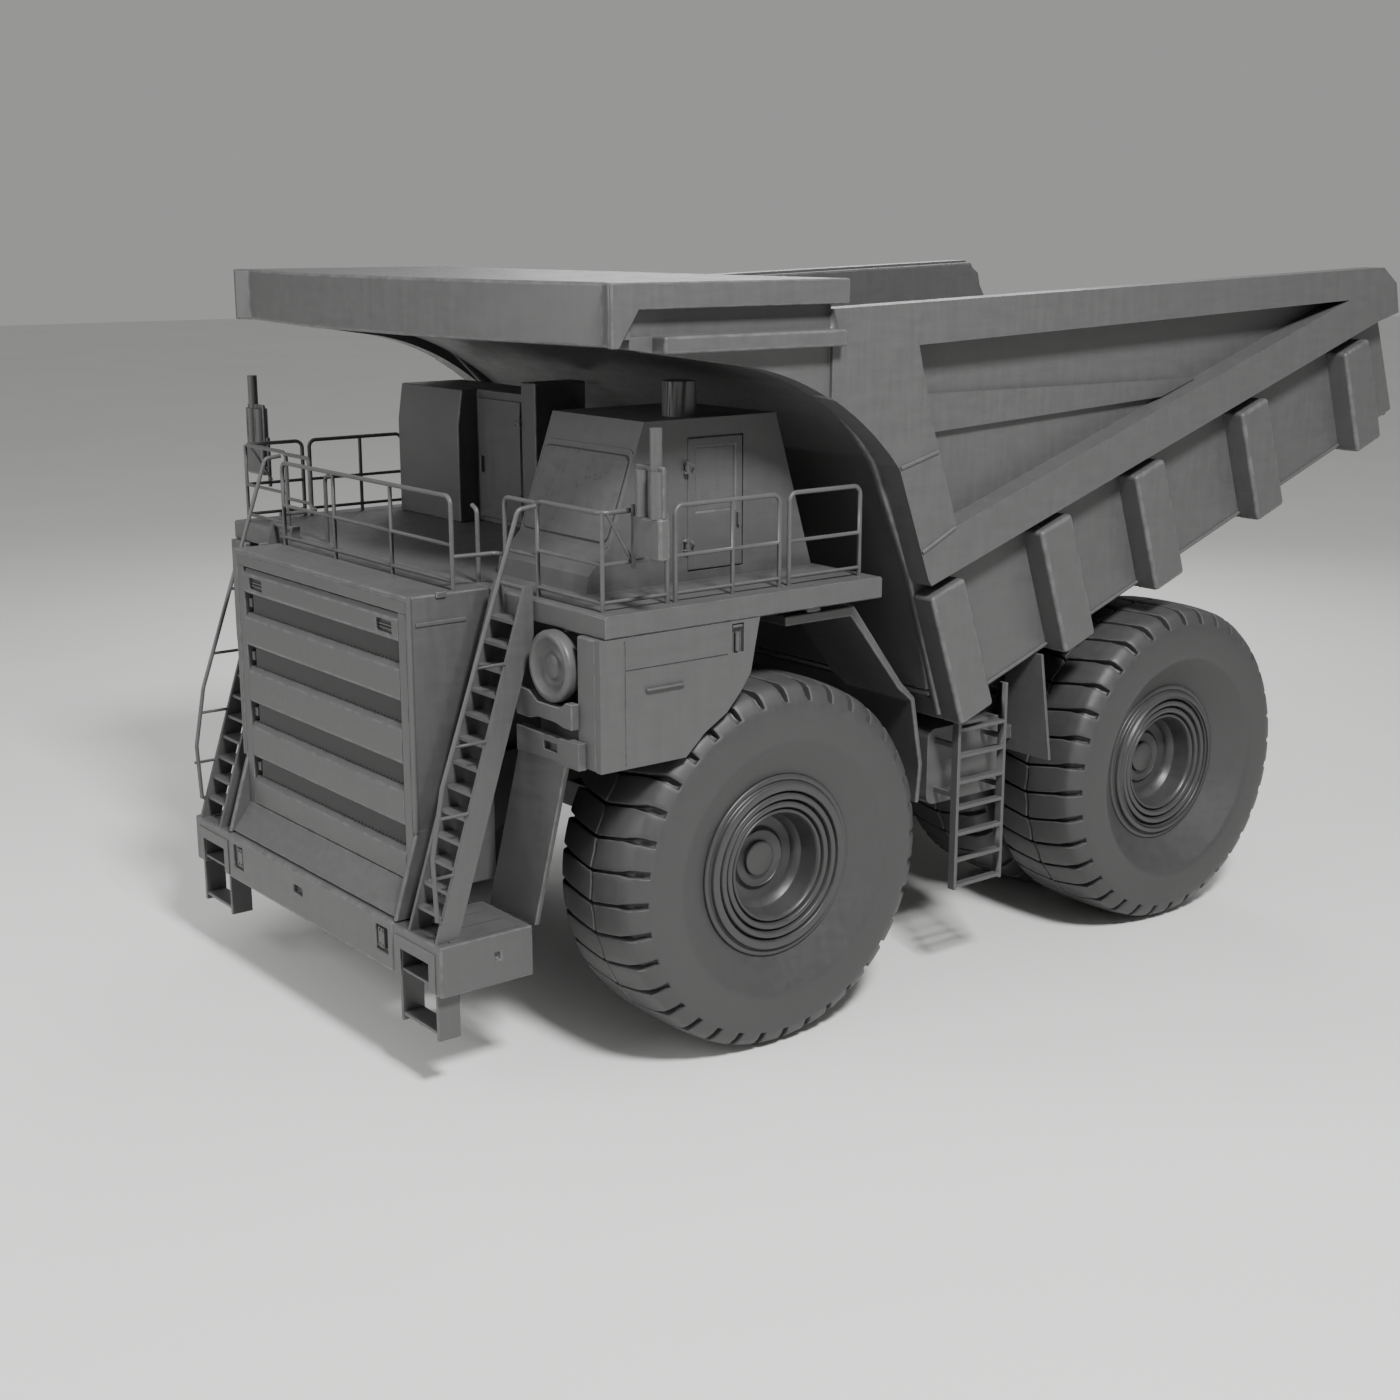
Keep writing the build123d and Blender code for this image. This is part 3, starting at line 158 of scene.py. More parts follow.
class TruckTyre(bpy.types.PropertyGroup):
    """Tread of the tyres."""

    lugs: bpy.props.IntProperty(
        name="Lugs", description="Tread bars round each tyre", default=36, min=12, max=60,
    )
    groove: size("Groove width", "Width of the groove between two bars", 0.034)
    notch: size("Notch width", "Width of the groove where it runs over the shoulder", 0.075)
    depth: size("Groove depth", "Depth of the tread", 0.085)
    chevron: size("Chevron", "How far a bar leads at the middle of the tread", 0.11)
    zigzag: size("Zigzag", "Side step of the middle groove from bar to bar", 0.014)


class TruckPlate(bpy.types.PropertyGroup):
    """Edges of plates and castings."""

    thick_edge: size("Heavy edge", "Radius on the dump body's edges", 0.035)
    sheet_edge: size("Sheet edge", "Radius on cab, deck and box edges", 0.022)
    frame_edge: size("Frame edge", "Radius on chassis and axle edges", 0.012)
    step_edge: size("Step edge", "Radius on stairs and small brackets", 0.005)


class TruckStage(bpy.types.PropertyGroup):
    """Floor and light."""

    floor: tint("Floor", "Colour of the studio floor", (0.80, 0.80, 0.79))
    key: power("Key light", "Watts of the large lamp", 16000)
    fill: power("Fill light", "Watts of each of the two side lamps", 2600)
    sky: power("Sky", "Strength of the light from all round", 0.42)


# Shader groups


def shader_group(name, inputs, outputs):
    """Empty shader node group with single values in and out."""
    tree = bpy.data.node_groups.new(name, "ShaderNodeTree")
    for label in inputs:
        tree.interface.new_socket(name=label, in_out="INPUT", socket_type="NodeSocketFloat")
    for label in outputs:
        tree.interface.new_socket(name=label, in_out="OUTPUT", socket_type="NodeSocketFloat")
    return tree, tree.nodes.new("NodeGroupInput"), tree.nodes.new("NodeGroupOutput")


def put(tree, kind, **values):
    """New node, with settings by attribute name and inputs by socket number or name."""
    node = tree.nodes.new(kind)
    for key, value in values.items():
        if key == "inputs":
            for socket, content in value.items():
                if isinstance(content, bpy.types.NodeSocket):
                    tree.links.new(content, node.inputs[socket])
                else:
                    node.inputs[socket].default_value = content
        else:
            setattr(node, key, value)
    return node


def object_place(tree):
    """Coordinates of the object, in metres."""
    return put(tree, "ShaderNodeTexCoord").outputs["Object"]


def noise(tree, coordinates, scale, detail, roughness=0.55):
    """Noise value at a scale per metre."""
    node = put(tree, "ShaderNodeTexNoise", inputs={
        "Vector": coordinates, "Scale": scale, "Detail": detail, "Roughness": roughness,
    })
    return node.outputs[0]


def ranged(tree, value, low, high, to_low=0.0, to_high=1.0):
    """Value mapped from one range to another, held at its ends."""
    node = put(tree, "ShaderNodeMapRange", interpolation_type="SMOOTHSTEP", inputs={
        "Value": value, "From Min": low, "From Max": high, "To Min": to_low, "To Max": to_high,
    })
    return node.outputs[0]


def times(tree, a, b):
    """Product of two values."""
    return put(tree, "ShaderNodeMath", operation="MULTIPLY", inputs={0: a, 1: b}).outputs[0]


def plus(tree, a, b):
    """Sum of two values."""
    return put(tree, "ShaderNodeMath", operation="ADD", inputs={0: a, 1: b}).outputs[0]


def mixed(tree, share, a, b, blend="MIX"):
    """Colour a mixed with colour b."""
    node = put(tree, "ShaderNodeMix", data_type="RGBA", blend_type=blend, inputs={0: share, 6: a, 7: b})
    return node.outputs[2]


def grey(tree, value):
    """Colour with one value in its three channels."""
    return put(tree, "ShaderNodeCombineColor", inputs={0: value, 1: value, 2: value}).outputs[0]


def stretched(tree, place, scale):
    """Coordinates stretched along an axis, for streaks."""
    return put(tree, "ShaderNodeMapping", inputs={"Vector": place, "Scale": scale}).outputs[0]


def rubbed_and_highlight_edge_group():
    """Mask of the lighter edges, rubbed paint and painted highlight together: the rounded faces, broken up by
    noise.
    """
    tree, source, sink = shader_group("rubbed edge", ["Wear"], ["Mask"])
    edge = put(tree, "ShaderNodeAttribute", attribute_name=EDGE_LAYER).outputs["Fac"]
    patches = noise(tree, object_place(tree), scale=7.0, detail=6.0, roughness=0.65)
    broken = ranged(tree, patches, low=0.38, high=0.62)
    tree.links.new(times(tree, times(tree, edge, broken), source.outputs["Wear"]), sink.inputs["Mask"])
    return tree


def plate_relief_group():
    """Height and mottle of a hand-worked plate: wide soft dents, short scuffs and a fine grain."""
    tree, source, sink = shader_group("plate relief", ["Dents", "Grain"], ["Height", "Mottle"])
    place = object_place(tree)
    wide = noise(tree, place, scale=1.7, detail=2.0, roughness=0.4)
    scuff = noise(tree, stretched(tree, place, (1.0, 1.0, 4.5)), scale=3.2, detail=5.0, roughness=0.6)
    streak = noise(tree, stretched(tree, place, (6.0, 6.0, 0.7)), scale=2.4, detail=4.0, roughness=0.6)
    fine = noise(tree, place, scale=60.0, detail=3.0, roughness=0.6)
    dents = times(tree, plus(tree, wide, times(tree, scuff, 0.35)), source.outputs["Dents"])
    grain = times(tree, fine, times(tree, source.outputs["Grain"], 0.08))
    tree.links.new(plus(tree, dents, grain), sink.inputs["Height"])
    run = ranged(tree, streak, low=0.35, high=0.68, to_low=0.95, to_high=1.03)
    scuffed = ranged(tree, scuff, low=0.3, high=0.7, to_low=0.95, to_high=1.04)
    tree.links.new(times(tree, scuffed, run), sink.inputs["Mottle"])
    return tree


def dust_group():
    """Mask of dust settled on faces that look up."""
    tree, source, sink = shader_group("settled dust", ["Amount"], ["Mask"])
    where = put(tree, "ShaderNodeTexCoord")
    up = put(tree, "ShaderNodeSeparateXYZ", inputs={"Vector": where.outputs["Normal"]}).outputs["Z"]
    cloud = noise(tree, where.outputs["Object"], scale=2.6, detail=5.0, roughness=0.6)
    patches = ranged(tree, cloud, low=0.3, high=0.7, to_low=0.35)
    mask = times(tree, ranged(tree, up, low=0.35, high=0.95), patches)
    tree.links.new(times(tree, mask, source.outputs["Amount"]), sink.inputs["Mask"])
    return tree


def use_group(tree, name, make, **inputs):
    """A shader group, made once, placed in a material with its own values."""
    node = put(tree, "ShaderNodeGroup", node_tree=bpy.data.node_groups.get(name) or make())
    for label, value in inputs.items():
        node.inputs[label].default_value = value
    return node


def rgba(colour):
    """Four channels from three."""
    return (*colour, 1.0)


def new_material(name):
    """Material with its node tree and its shader."""
    material = bpy.data.materials.new(name)
    material.use_nodes = True
    return material, material.node_tree, material.node_tree.nodes["Principled BSDF"]


def coated(name, colour, roughness, metallic=0.0, wear_and_highlight=None, dust=0.5, dents=0.5, grain=0.5, bump=0.012):
    """Painted, rubber or steel finish with lightened edges (rubbed paint and painted highlight), dust and
    relief.
    """
    paint = bpy.context.scene.truck_paint
    material, tree, shader = new_material(name)
    edge = use_group(tree, "rubbed edge", rubbed_and_highlight_edge_group, Wear=paint.wear_and_highlight if wear_and_highlight is None else wear_and_highlight)
    relief = use_group(tree, "plate relief", plate_relief_group, Dents=dents, Grain=grain)
    dusty = use_group(tree, "settled dust", dust_group, Amount=dust).outputs["Mask"]
    mottle = relief.outputs["Mottle"]
    shade = mixed(tree, 1.0, rgba(colour), grey(tree, mottle), "MULTIPLY")
    # Lightens the rounded edges: rubbed paint, and a painted highlight where light would catch them
    shade = mixed(tree, edge.outputs["Mask"], shade, rgba(paint.worn_and_highlight_grey))
    shade = mixed(tree, dusty, shade, rgba(paint.dust))
    tree.links.new(shade, shader.inputs["Base Color"])
    sheen = ranged(tree, mottle, low=0.85, high=1.08, to_low=roughness - 0.06, to_high=roughness + 0.08)
    tree.links.new(plus(tree, sheen, times(tree, dusty, 0.15)), shader.inputs["Roughness"])
    shader.inputs["Metallic"].default_value = metallic
    shader.inputs["Specular IOR Level"].default_value = 0.5
    height = put(tree, "ShaderNodeBump", inputs={
        "Strength": 0.5, "Distance": bump, "Height": relief.outputs["Height"],
    })
    tree.links.new(height.outputs[0], shader.inputs["Normal"])
    return material


FINISHES = {
    # finish: record slot, material, colour in TruckPaint, other values of coated
    "dump_body_paint": ("dump_body_paint", "dump_body_coat", "plate", {"roughness": 0.45}),
    "chassis_paint": ("chassis_paint", "chassis_coat", "chassis", {"roughness": 0.45, "dents": 0.3}),
    "tyre": ("tyre", "tyre_rubber", "rubber", {
        "roughness": 0.5, "wear_and_highlight": 0.45, "dust": 0.25, "dents": 0.35, "grain": 0.9,
    }),
    # Gasket finish: real rubber, with its near-black grey as painted shade of the gap round the windscreen
    "seal_and_gap_shade": ("tyre", "seal_rubber", "seal_and_gap_shade", {
        "roughness": 0.6, "wear_and_highlight": 0.1, "dust": 0.1, "dents": 0.1, "grain": 0.4,
    }),
    "rim_paint": ("rim_paint", "rim_coat", "rim", {"roughness": 0.36, "dust": 0.2, "dents": 0.2}),
    "window": ("window", "window_glass", "glass", {
        "roughness": 0.3, "wear_and_highlight": 0.1, "dust": 0.2, "dents": 0.05, "grain": 0.1, "bump": 0.004,
    }),
    "engine_iron": ("engine_iron", "engine_cast_iron", "chassis", {
        "roughness": 0.6, "dents": 0.4, "grain": 1.0,
    }),
    "hoist_steel": ("hoist_steel", "hoist_rod_steel", "steel", {
        "roughness": 0.22, "metallic": 0.9, "wear_and_highlight": 0.2, "dust": 0.1, "dents": 0.05,
    }),
}


def finished(finish):
    """Record slot and material of a finish; the material is made once."""
    slot, name, colour, values = FINISHES[finish]
    found = bpy.data.materials.get(name)
    return slot, found or coated(name, getattr(bpy.context.scene.truck_paint, colour), **values)


# Mesh helpers


def at(station):
    """Y of a station behind the front axle."""
    return FRONT_Y + station


def edge_layer(bm):
    """Face layer that marks rounded edges."""
    return bm.faces.layers.float.get(EDGE_LAYER) or bm.faces.layers.float.new(EDGE_LAYER)


def sharp_edges(bm, angle=EDGE_ANGLE):
    """Edges between two faces that meet at more than an angle."""
    return [edge for edge in bm.edges if len(edge.link_faces) == 2 and edge.calc_face_angle(0.0) > angle]


def round_edges(bm, edges, radius, segments=2):
    """Rounds edges and marks the new faces for the lighter edge grey: rubbed paint and painted highlight."""
    made = bmesh.ops.bevel(
        bm, geom=edges, offset=radius, offset_type="OFFSET", affect="EDGES", segments=segments, profile=0.5,
        clamp_overlap=True, material=-1,
    )
    layer = edge_layer(bm)
    for face in made["faces"]:
        face[layer] = 1.0


def linked(name, data):
    """New object in the scene."""
    obj = bpy.data.objects.new(name, data)
    bpy.context.scene.collection.objects.link(obj)
    return obj


def piece(name, bm, body, finish, replaces=()):
    """Finished object from a bmesh: smooth, with sharp edges by angle, riding on its body."""
    slot, material = finished(finish)
    mesh = bpy.data.meshes.new(name)
    for face in bm.faces:
        face.smooth = True
    bm.to_mesh(mesh)
    bm.free()
    mesh.set_sharp_from_angle(angle=SHARP_ANGLE)
    mesh.materials.append(material)
    obj = linked(name, mesh)
    weighted = obj.modifiers.new("even normals", "WEIGHTED_NORMAL")
    weighted.keep_sharp = True
    weighted.weight = 60
    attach(obj, body)
    if replaces:
        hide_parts(*replaces)


def new_shape():
    """Empty bmesh with the worn edge layer."""
    bm = bmesh.new()
    edge_layer(bm)
    return bm


def made_piece(name, bm, body="root", finish="chassis_paint", replaces=()):
    """New piece from closed shapes, with every one faced outwards."""
    bmesh.ops.recalc_face_normals(bm, faces=bm.faces)
    piece(name, bm, body, finish, replaces)


def formed(node, bm, finish="chassis_paint"):
    """New piece in the place of a CAD node."""
    made_piece(f"{node}_formed", bm, BODY_OF[node], finish, (node,))


def roomy(edges, radius):
    """Edges with room for a radius: neither short themselves nor beside a short one."""
    room = 2.2 * radius
    return [
        edge for edge in edges
        if all(near.calc_length() > room for vert in edge.verts for near in vert.link_edges)
    ]


def softened(nodes, radius, finish="chassis_paint"):
    """Dresses several CAD nodes, named in one line."""
    for node in nodes.split():
        soften(node, radius, finish)


def soften(node, radius, finish):
    """Copy of a CAD node in its place: seams merged, edges rounded, and what had no room rounded finer."""
    bm = bmesh.new()
    bm.from_mesh(frame["nodes"][node].data)
    edge_layer(bm)
    bmesh.ops.remove_doubles(bm, verts=bm.verts, dist=MERGE)
    bmesh.ops.dissolve_limit(bm, angle_limit=FLAT_ANGLE, verts=bm.verts, edges=bm.edges)
    round_edges(bm, roomy(sharp_edges(bm), radius), radius)
    left = [edge for edge in sharp_edges(bm) if not any(face[edge_layer(bm)] for face in edge.link_faces)]
    fine = radius / 4
    round_edges(bm, roomy(left, fine), fine)
    piece(f"{node}_dressed", bm, BODY_OF[node], finish, (node,))


def verts_in(made):
    """Vertices among mixed mesh elements."""
    return [item for item in made if isinstance(item, bmesh.types.BMVert)]


def extruded(bm, corners, reach):
    """Flat outline of corner points pushed along a vector into a closed solid."""
    face = bm.faces.new([bm.verts.new(corner) for corner in corners])
    made = bmesh.ops.extrude_face_region(bm, geom=[face], use_keep_orig=True)["geom"]
    bmesh.ops.translate(bm, verts=verts_in(made), vec=reach)


def slab(bm, outline, x_low, x_high):
    """Side outline of (station, height) points, as thick as from x_low to x_high."""
    extruded(bm, [(x_low, at(station), height) for station, height in outline], (x_high - x_low, 0, 0))


def front_slab(bm, outline, station_low, station_high):
    """Front outline of (x, height) points, as deep as from one station to the other."""
    extruded(bm, [(x, at(station_low), height) for x, height in outline], (0, station_high - station_low, 0))


def plan_slab(bm, outline, z_low, z_high):
    """Plan outline of (x, station) points, as high as from z_low to z_high."""
    extruded(bm, [(x, at(station), z_low) for x, station in outline], (0, 0, z_high - z_low))


def box(bm, x_span, station_span, z_span):
    """Block with spans of x, station and height."""
    spans = (x_span, [at(station) for station in station_span], z_span)
    centre = [sum(span) / 2 for span in spans]
    sides = Vector([abs(span[1] - span[0]) for span in spans])
    bmesh.ops.create_cube(bm, size=1.0, matrix=Matrix.LocRotScale(Vector(centre), None, sides))


def place(point):
    """Vector of an (x, station, height) point."""
    return Vector((point[0], at(point[1]), point[2]))


def rod(bm, start, end, radius, sides=16):
    """Round bar between two (x, station, height) points."""
    a, b = place(start), place(end)
    turn = (b - a).to_track_quat("Z", "Y").to_matrix().to_4x4()
    bmesh.ops.create_cone(
        bm, cap_ends=True, cap_tris=False, segments=sides, radius1=radius, radius2=radius,
        depth=(b - a).length, matrix=Matrix.Translation((a + b) / 2) @ turn,
    )


def rounded_path(corners, bend, steps=5):
    """Points along a bent path, with a curve of a few steps at each corner."""
    path = [corners[0]]
    for before, corner, after in zip(corners, corners[1:], corners[2:]):
        reach = min(bend, (before - corner).length / 2, (after - corner).length / 2)
        start = corner + (before - corner).normalized() * reach
        end = corner + (after - corner).normalized() * reach
        for step in range(steps + 1):
            share = step / steps
            path.append(start.lerp(corner, share).lerp(corner.lerp(end, share), share))
    return path + [corners[-1]]


def bent_tube(bm, points, radius, bend=0.09, sides=10):
    """Round tube along (x, station, height) points with curved bends."""
    path = rounded_path([place(point) for point in points], bend)
    last = None
    for index, point in enumerate(path):
        direction = path[min(index + 1, len(path) - 1)] - path[max(index - 1, 0)]
        turn = direction.to_track_quat("Z", "Y").to_matrix().to_4x4()
        ring = bmesh.ops.create_circle(
            bm, cap_ends=index in (0, len(path) - 1), segments=sides, radius=radius,
            matrix=Matrix.Translation(point) @ turn,
        )
        edges = list({edge for vert in ring["verts"] for edge in vert.link_edges})
        if last:
            bmesh.ops.bridge_loops(bm, edges=last + edges)
        last = edges


def lathed(bm, profile, matrix, steps):
    """Closed outline of (along, radius) points spun about the X axis, then placed by a matrix."""
    verts = [bm.verts.new((along, 0.0, radius)) for along, radius in profile]
    edges = [bm.edges.new(pair) for pair in zip(verts, verts[1:] + verts[:1])]
    bmesh.ops.spin(
        bm, geom=verts + edges, cent=(0, 0, 0), axis=(1, 0, 0), dvec=(0, 0, 0), angle=math.tau, steps=steps,
        use_merge=True, use_duplicate=False,
    )
    bmesh.ops.remove_doubles(bm, verts=bm.verts, dist=MERGE)
    loose = [edge for edge in bm.edges if not edge.link_faces]
    bmesh.ops.delete(bm, geom=loose, context="EDGES")
    bmesh.ops.transform(bm, matrix=matrix, verts=bm.verts)


def axis_vector(axis, length):
    """Vector of a length along an axis."""
    vector = Vector((0, 0, 0))
    vector[axis] = length
    return vector


def lies_at(part, axis, plane):
    """Whether a face or an edge lies at a height on an axis."""
    return all(abs(vert.co[axis] - plane) < ON_PLANE for vert in part.verts)


def sunken(bm, axis, plane, spans, depth):
    """Recess of a depth in the flat face at a height on an axis; spans bound it on the other two axes."""
    for other, limits in spans.items():
        for limit in limits:
            faces = [face for face in bm.faces if lies_at(face, axis, plane)]
            near = {part for face in faces for part in (*face.verts, *face.edges)}
            place, normal = axis_vector(other, limit), axis_vector(other, 1.0)
            bmesh.ops.bisect_plane(bm, geom=faces + list(near), dist=CUT, plane_co=place, plane_no=normal)
    floor = [
        face for face in bm.faces if lies_at(face, axis, plane)
        and all(low < face.calc_center_median()[other] < high for other, (low, high) in spans.items())
    ]
    made = bmesh.ops.extrude_face_region(bm, geom=floor)["geom"]
    bmesh.ops.translate(bm, verts=verts_in(made), vec=axis_vector(axis, depth))
    bmesh.ops.delete(bm, geom=[face for face in floor if face.is_valid], context="FACES_ONLY")
    flat = [edge for edge in bm.edges if lies_at(edge, axis, plane)]
    bmesh.ops.dissolve_limit(bm, angle_limit=FLAT_ANGLE, verts=[], edges=flat)


def both_ways(span):
    """The span and its mirror image across the truck's middle, both ascending."""
    return span, (-span[1], -span[0])


def bolt(bm, x, station, z, facing, radius=0.014):
    """Hexagonal bolt head that faces along a vector of x, station and height."""
    head = [start + 0.8 * radius * share for start, share in zip((x, station, z), facing)]
    rod(bm, (x, station, z), head, radius, sides=6)


def mirrored(bm):
    """Adds the mirror image on the truck's right of everything so far."""
    copied = bmesh.ops.duplicate(bm, geom=bm.verts[:] + bm.edges[:] + bm.faces[:])["geom"]
    bmesh.ops.scale(bm, vec=(-1, 1, 1), verts=verts_in(copied))


def whole(half):
    """Outline drawn on the left side, closed by its mirror image."""
    return list(half) + [(-x, other) for x, other in reversed(half)]


# Shapes in a piece


def joined(first, second):
    """Two bmeshes in one."""
    mesh = bpy.data.meshes.new("joined")
    second.to_mesh(mesh)
    second.free()
    first.from_mesh(mesh)
    bpy.data.meshes.remove(mesh)
    return first


def added(bm, radius, shape, *settings):
    """A shape made on its own, faced outwards, rounded where it has room and added to a piece."""
    part = new_shape()
    shape(part, *settings)
    bmesh.ops.recalc_face_normals(part, faces=part.faces)
    if radius:
        round_edges(part, roomy(sharp_edges(part), radius), radius)
    return joined(bm, part)


def assembled(left, middle=()):
    """Shapes from rows of edge radius, shape and settings: left rows are mirrored, middle rows are not."""
    bm = new_shape()
    for radius, shape, *settings in left:
        added(bm, radius, shape, *settings)
    mirrored(bm)
    for radius, shape, *settings in middle:
        added(bm, radius, shape, *settings)
    return bm


# Wheels

COLUMNS = 6
SHOULDER_IN = 0.17
NOTCH_IN = 0.18
NOTCH_R = 1.80
NOTCH_SHARE = 0.55
BAR_LOW = NOTCH_R - 0.06
MIDDLE_GROOVE = 0.016
MIDDLE_DEPTH = 0.045
CHEVRON_IN = 0.1
GRIP_R = 1.6
GRIP_REACH = 0.2
SHARE_SLACK = 1e-4
BAR_ANGLE = math.radians(38.0)
BAR_EDGE = 0.012
# Depth below the tread's face where the lighter edge grey of rubbing and painted highlight stops
WORN_AND_HIGHLIGHT_DEPTH = 0.1
BEAD_IN = {"front": 0.185, "rear": 0.30, "inner": 0.185}
BEAD_BACK = ((0.23, 0.82), (0.22, 0.955), (0.185, 0.985))
TYRE_HALF = (
    # inwards from the outer face, radius: cone, sidewall, shoulder and tread
    (0.03, 1.35), (0.012, 1.385), (0.0, 1.44), (0.0, 1.60), (0.004, 1.70), (0.015, 1.77), (0.03, NOTCH_R),
    (0.06, 1.865), (0.11, 1.925), (SHOULDER_IN, 1.965), (0.32, 1.985), (0.50, 1.996),
    (TYRE_WIDTH / 2 - MIDDLE_GROOVE, TYRE_R), (TYRE_WIDTH / 2 - MIDDLE_GROOVE * 0.7, TYRE_R - MIDDLE_DEPTH),
)
RIM_STEPS = 96
RIM_FLANGE = (
    # inwards from the outer face, radius
    (0.22, 0.83), (0.22, 0.955), (0.185, 0.985), (0.165, 0.985), (0.152, 0.97), (0.15, 0.935), (0.165, 0.925),
    (0.165, 0.915), (0.15, 0.905),
)
RIM_RINGS = (
    # outer radius, inner radius, depth of the crest, depth of the groove behind it
    (0.905, 0.815, 0.112, 0.180), (0.785, 0.722, 0.118, 0.195), (0.695, 0.632, 0.138, 0.215),
    (0.610, 0.572, 0.158, 0.200),
)
RIM_SHIFT = {"front": 0.0, "rear": 0.13}
RIM_BORE = ((0.37, 0.53), (0.385, 0.52), (0.40, 0.52), (0.44, 0.47), (0.50, 0.46))
HUB_HALF = (
    # radius, depth behind the hub's face
    (0.31, 0.0), (0.29, 0.02), (0.20, 0.02), (0.186, 0.03), (0.186, -0.02), (0.165, -0.03), (0.0, -0.03),
)
HUB_FACE = {"front": 0.475, "rear": 0.62}
HUB_BACK = ((0.86, 0.0), (0.86, 0.74))
INNER_STEP = ((0.19, 0.76), (0.3, 0.745))
RIM_BACK = ((TYRE_WIDTH - 0.2, 0.74), (TYRE_WIDTH - 0.2, 0.80))
CREST_ROUND = 0.012


def place_wheel(bm, outer_face, sign, station_y):
    """Moves a wheel piece, drawn inwards from its outer face, to its place on the truck."""
    bmesh.ops.scale(bm, vec=(-sign, 1, 1), verts=bm.verts)
    bmesh.ops.translate(bm, vec=(sign * outer_face, station_y, WHEEL_Z), verts=bm.verts)
    bmesh.ops.recalc_face_normals(bm, faces=bm.faces)


def turned(point):
    """Angle of a point about the wheel's axis, from the top forwards."""
    return math.atan2(-point.y, point.z) % math.tau


def ramp(value, start, reach):
    """Share that rises from 0 at a start to 1 over a reach."""
    return min(1.0, max(0.0, (value - start) / reach))


def tread_angle(position, tyre, pitch):
    """Angle shift that bends the bars into a chevron and widens the grooves over the shoulder."""
    half_column = 0.5 / COLUMNS
    offset = (turned(position) / pitch % 1.0 - half_column + 0.5) % 1.0 - 0.5
    inwards = min(position.x, TYRE_WIDTH - position.x)
    width = tyre.groove if inwards > NOTCH_IN else tyre.notch
    half_width = width / (pitch * TYRE_R) / 2
    reach = abs(offset)
    if reach <= half_column + SHARE_SLACK:
        moved = reach * half_width / half_column
    else:
        moved = half_width + (reach - half_column) * (0.5 - half_width) / (0.5 - half_column)
    side = math.copysign(moved, offset) - offset
    lead = tyre.chevron / TYRE_R * ramp(inwards, CHEVRON_IN, TYRE_WIDTH / 2 - CHEVRON_IN)
    return ramp(position.yz.length, GRIP_R, GRIP_REACH) * (side * pitch + lead)


def bend_tread(bm, tyre, pitch):
    """Turns the straight columns of a tyre into its bars and moves the middle groove from side to side."""
    shifts = {vert: tread_angle(vert.co, tyre, pitch) for vert in bm.verts}
    for vert, shift in shifts.items():
        middle = abs(vert.co.x - TYRE_WIDTH / 2) < 2 * MIDDLE_GROOVE and vert.co.yz.length > NOTCH_R
        share = turned(vert.co) / pitch % 1.0
        if shift:
            vert.co = Matrix.Rotation(shift, 3, "X") @ vert.co
        if middle:
            vert.co.x += tyre.zigzag * (4.0 * abs(share - 0.5) - 1.0)
    bm.normal_update()


def sink_grooves(bm, grooves, depth):
    """Presses the grooves into the tyre, less deep where they end on the sidewall."""
    inward = {vert: vert.normal.copy() for face in grooves for vert in face.verts}
    places = {vert.co.to_tuple(5): normal for vert, normal in inward.items()}
    made = bmesh.ops.extrude_face_region(bm, geom=grooves)
    for vert in verts_in(made["geom"]):
        normal = places.get(vert.co.to_tuple(5), vert.normal)
        low = vert.co.yz.length < NOTCH_R + 0.01
        vert.co -= normal * depth * (NOTCH_SHARE if low else 1.0)
    bmesh.ops.delete(bm, geom=[face for face in grooves if face.is_valid], context="FACES_ONLY")
    bmesh.ops.recalc_face_normals(bm, faces=bm.faces)


def tyre_mesh(outer_face, sign, station_y, wheel):
    """Tyre with its tread bars, notched shoulders and zigzag middle groove."""
    tyre = bpy.context.scene.truck_tyre
    bead = BEAD_IN[wheel]
    outer = ((bead + 0.03, 0.82), (bead + 0.02, 0.955), (bead, 0.985)) + TYRE_HALF
    back = tuple((TYRE_WIDTH - inwards, radius) for inwards, radius in reversed(BEAD_BACK + TYRE_HALF))
    bm = new_shape()
    lathed(bm, outer + back, Matrix(), tyre.lugs * COLUMNS)
    bmesh.ops.recalc_face_normals(bm, faces=bm.faces)
    pitch = math.tau / tyre.lugs
    grooves = []
    for face in bm.faces:
        middle = face.calc_center_median()
        column = int(turned(middle) / pitch % 1.0 * COLUMNS)
        if column == 0 and middle.yz.length > NOTCH_R:
            grooves.append(face)
    bend_tread(bm, tyre, pitch)
    sink_grooves(bm, grooves, tyre.depth)
    bars = [
        edge for edge in sharp_edges(bm, BAR_ANGLE)
        if all(vert.co.yz.length > BAR_LOW for vert in edge.verts)
    ]
    round_edges(bm, bars, BAR_EDGE, 1)
    # Tyre bar edges keep the lighter edge grey, rubbing and painted highlight, only at the tread's face
    layer = edge_layer(bm)
    for face in bm.faces:
        if face.calc_center_median().yz.length < TYRE_R - WORN_AND_HIGHLIGHT_DEPTH:
            face[layer] = 0.0
    place_wheel(bm, outer_face, sign, station_y)
    return bm


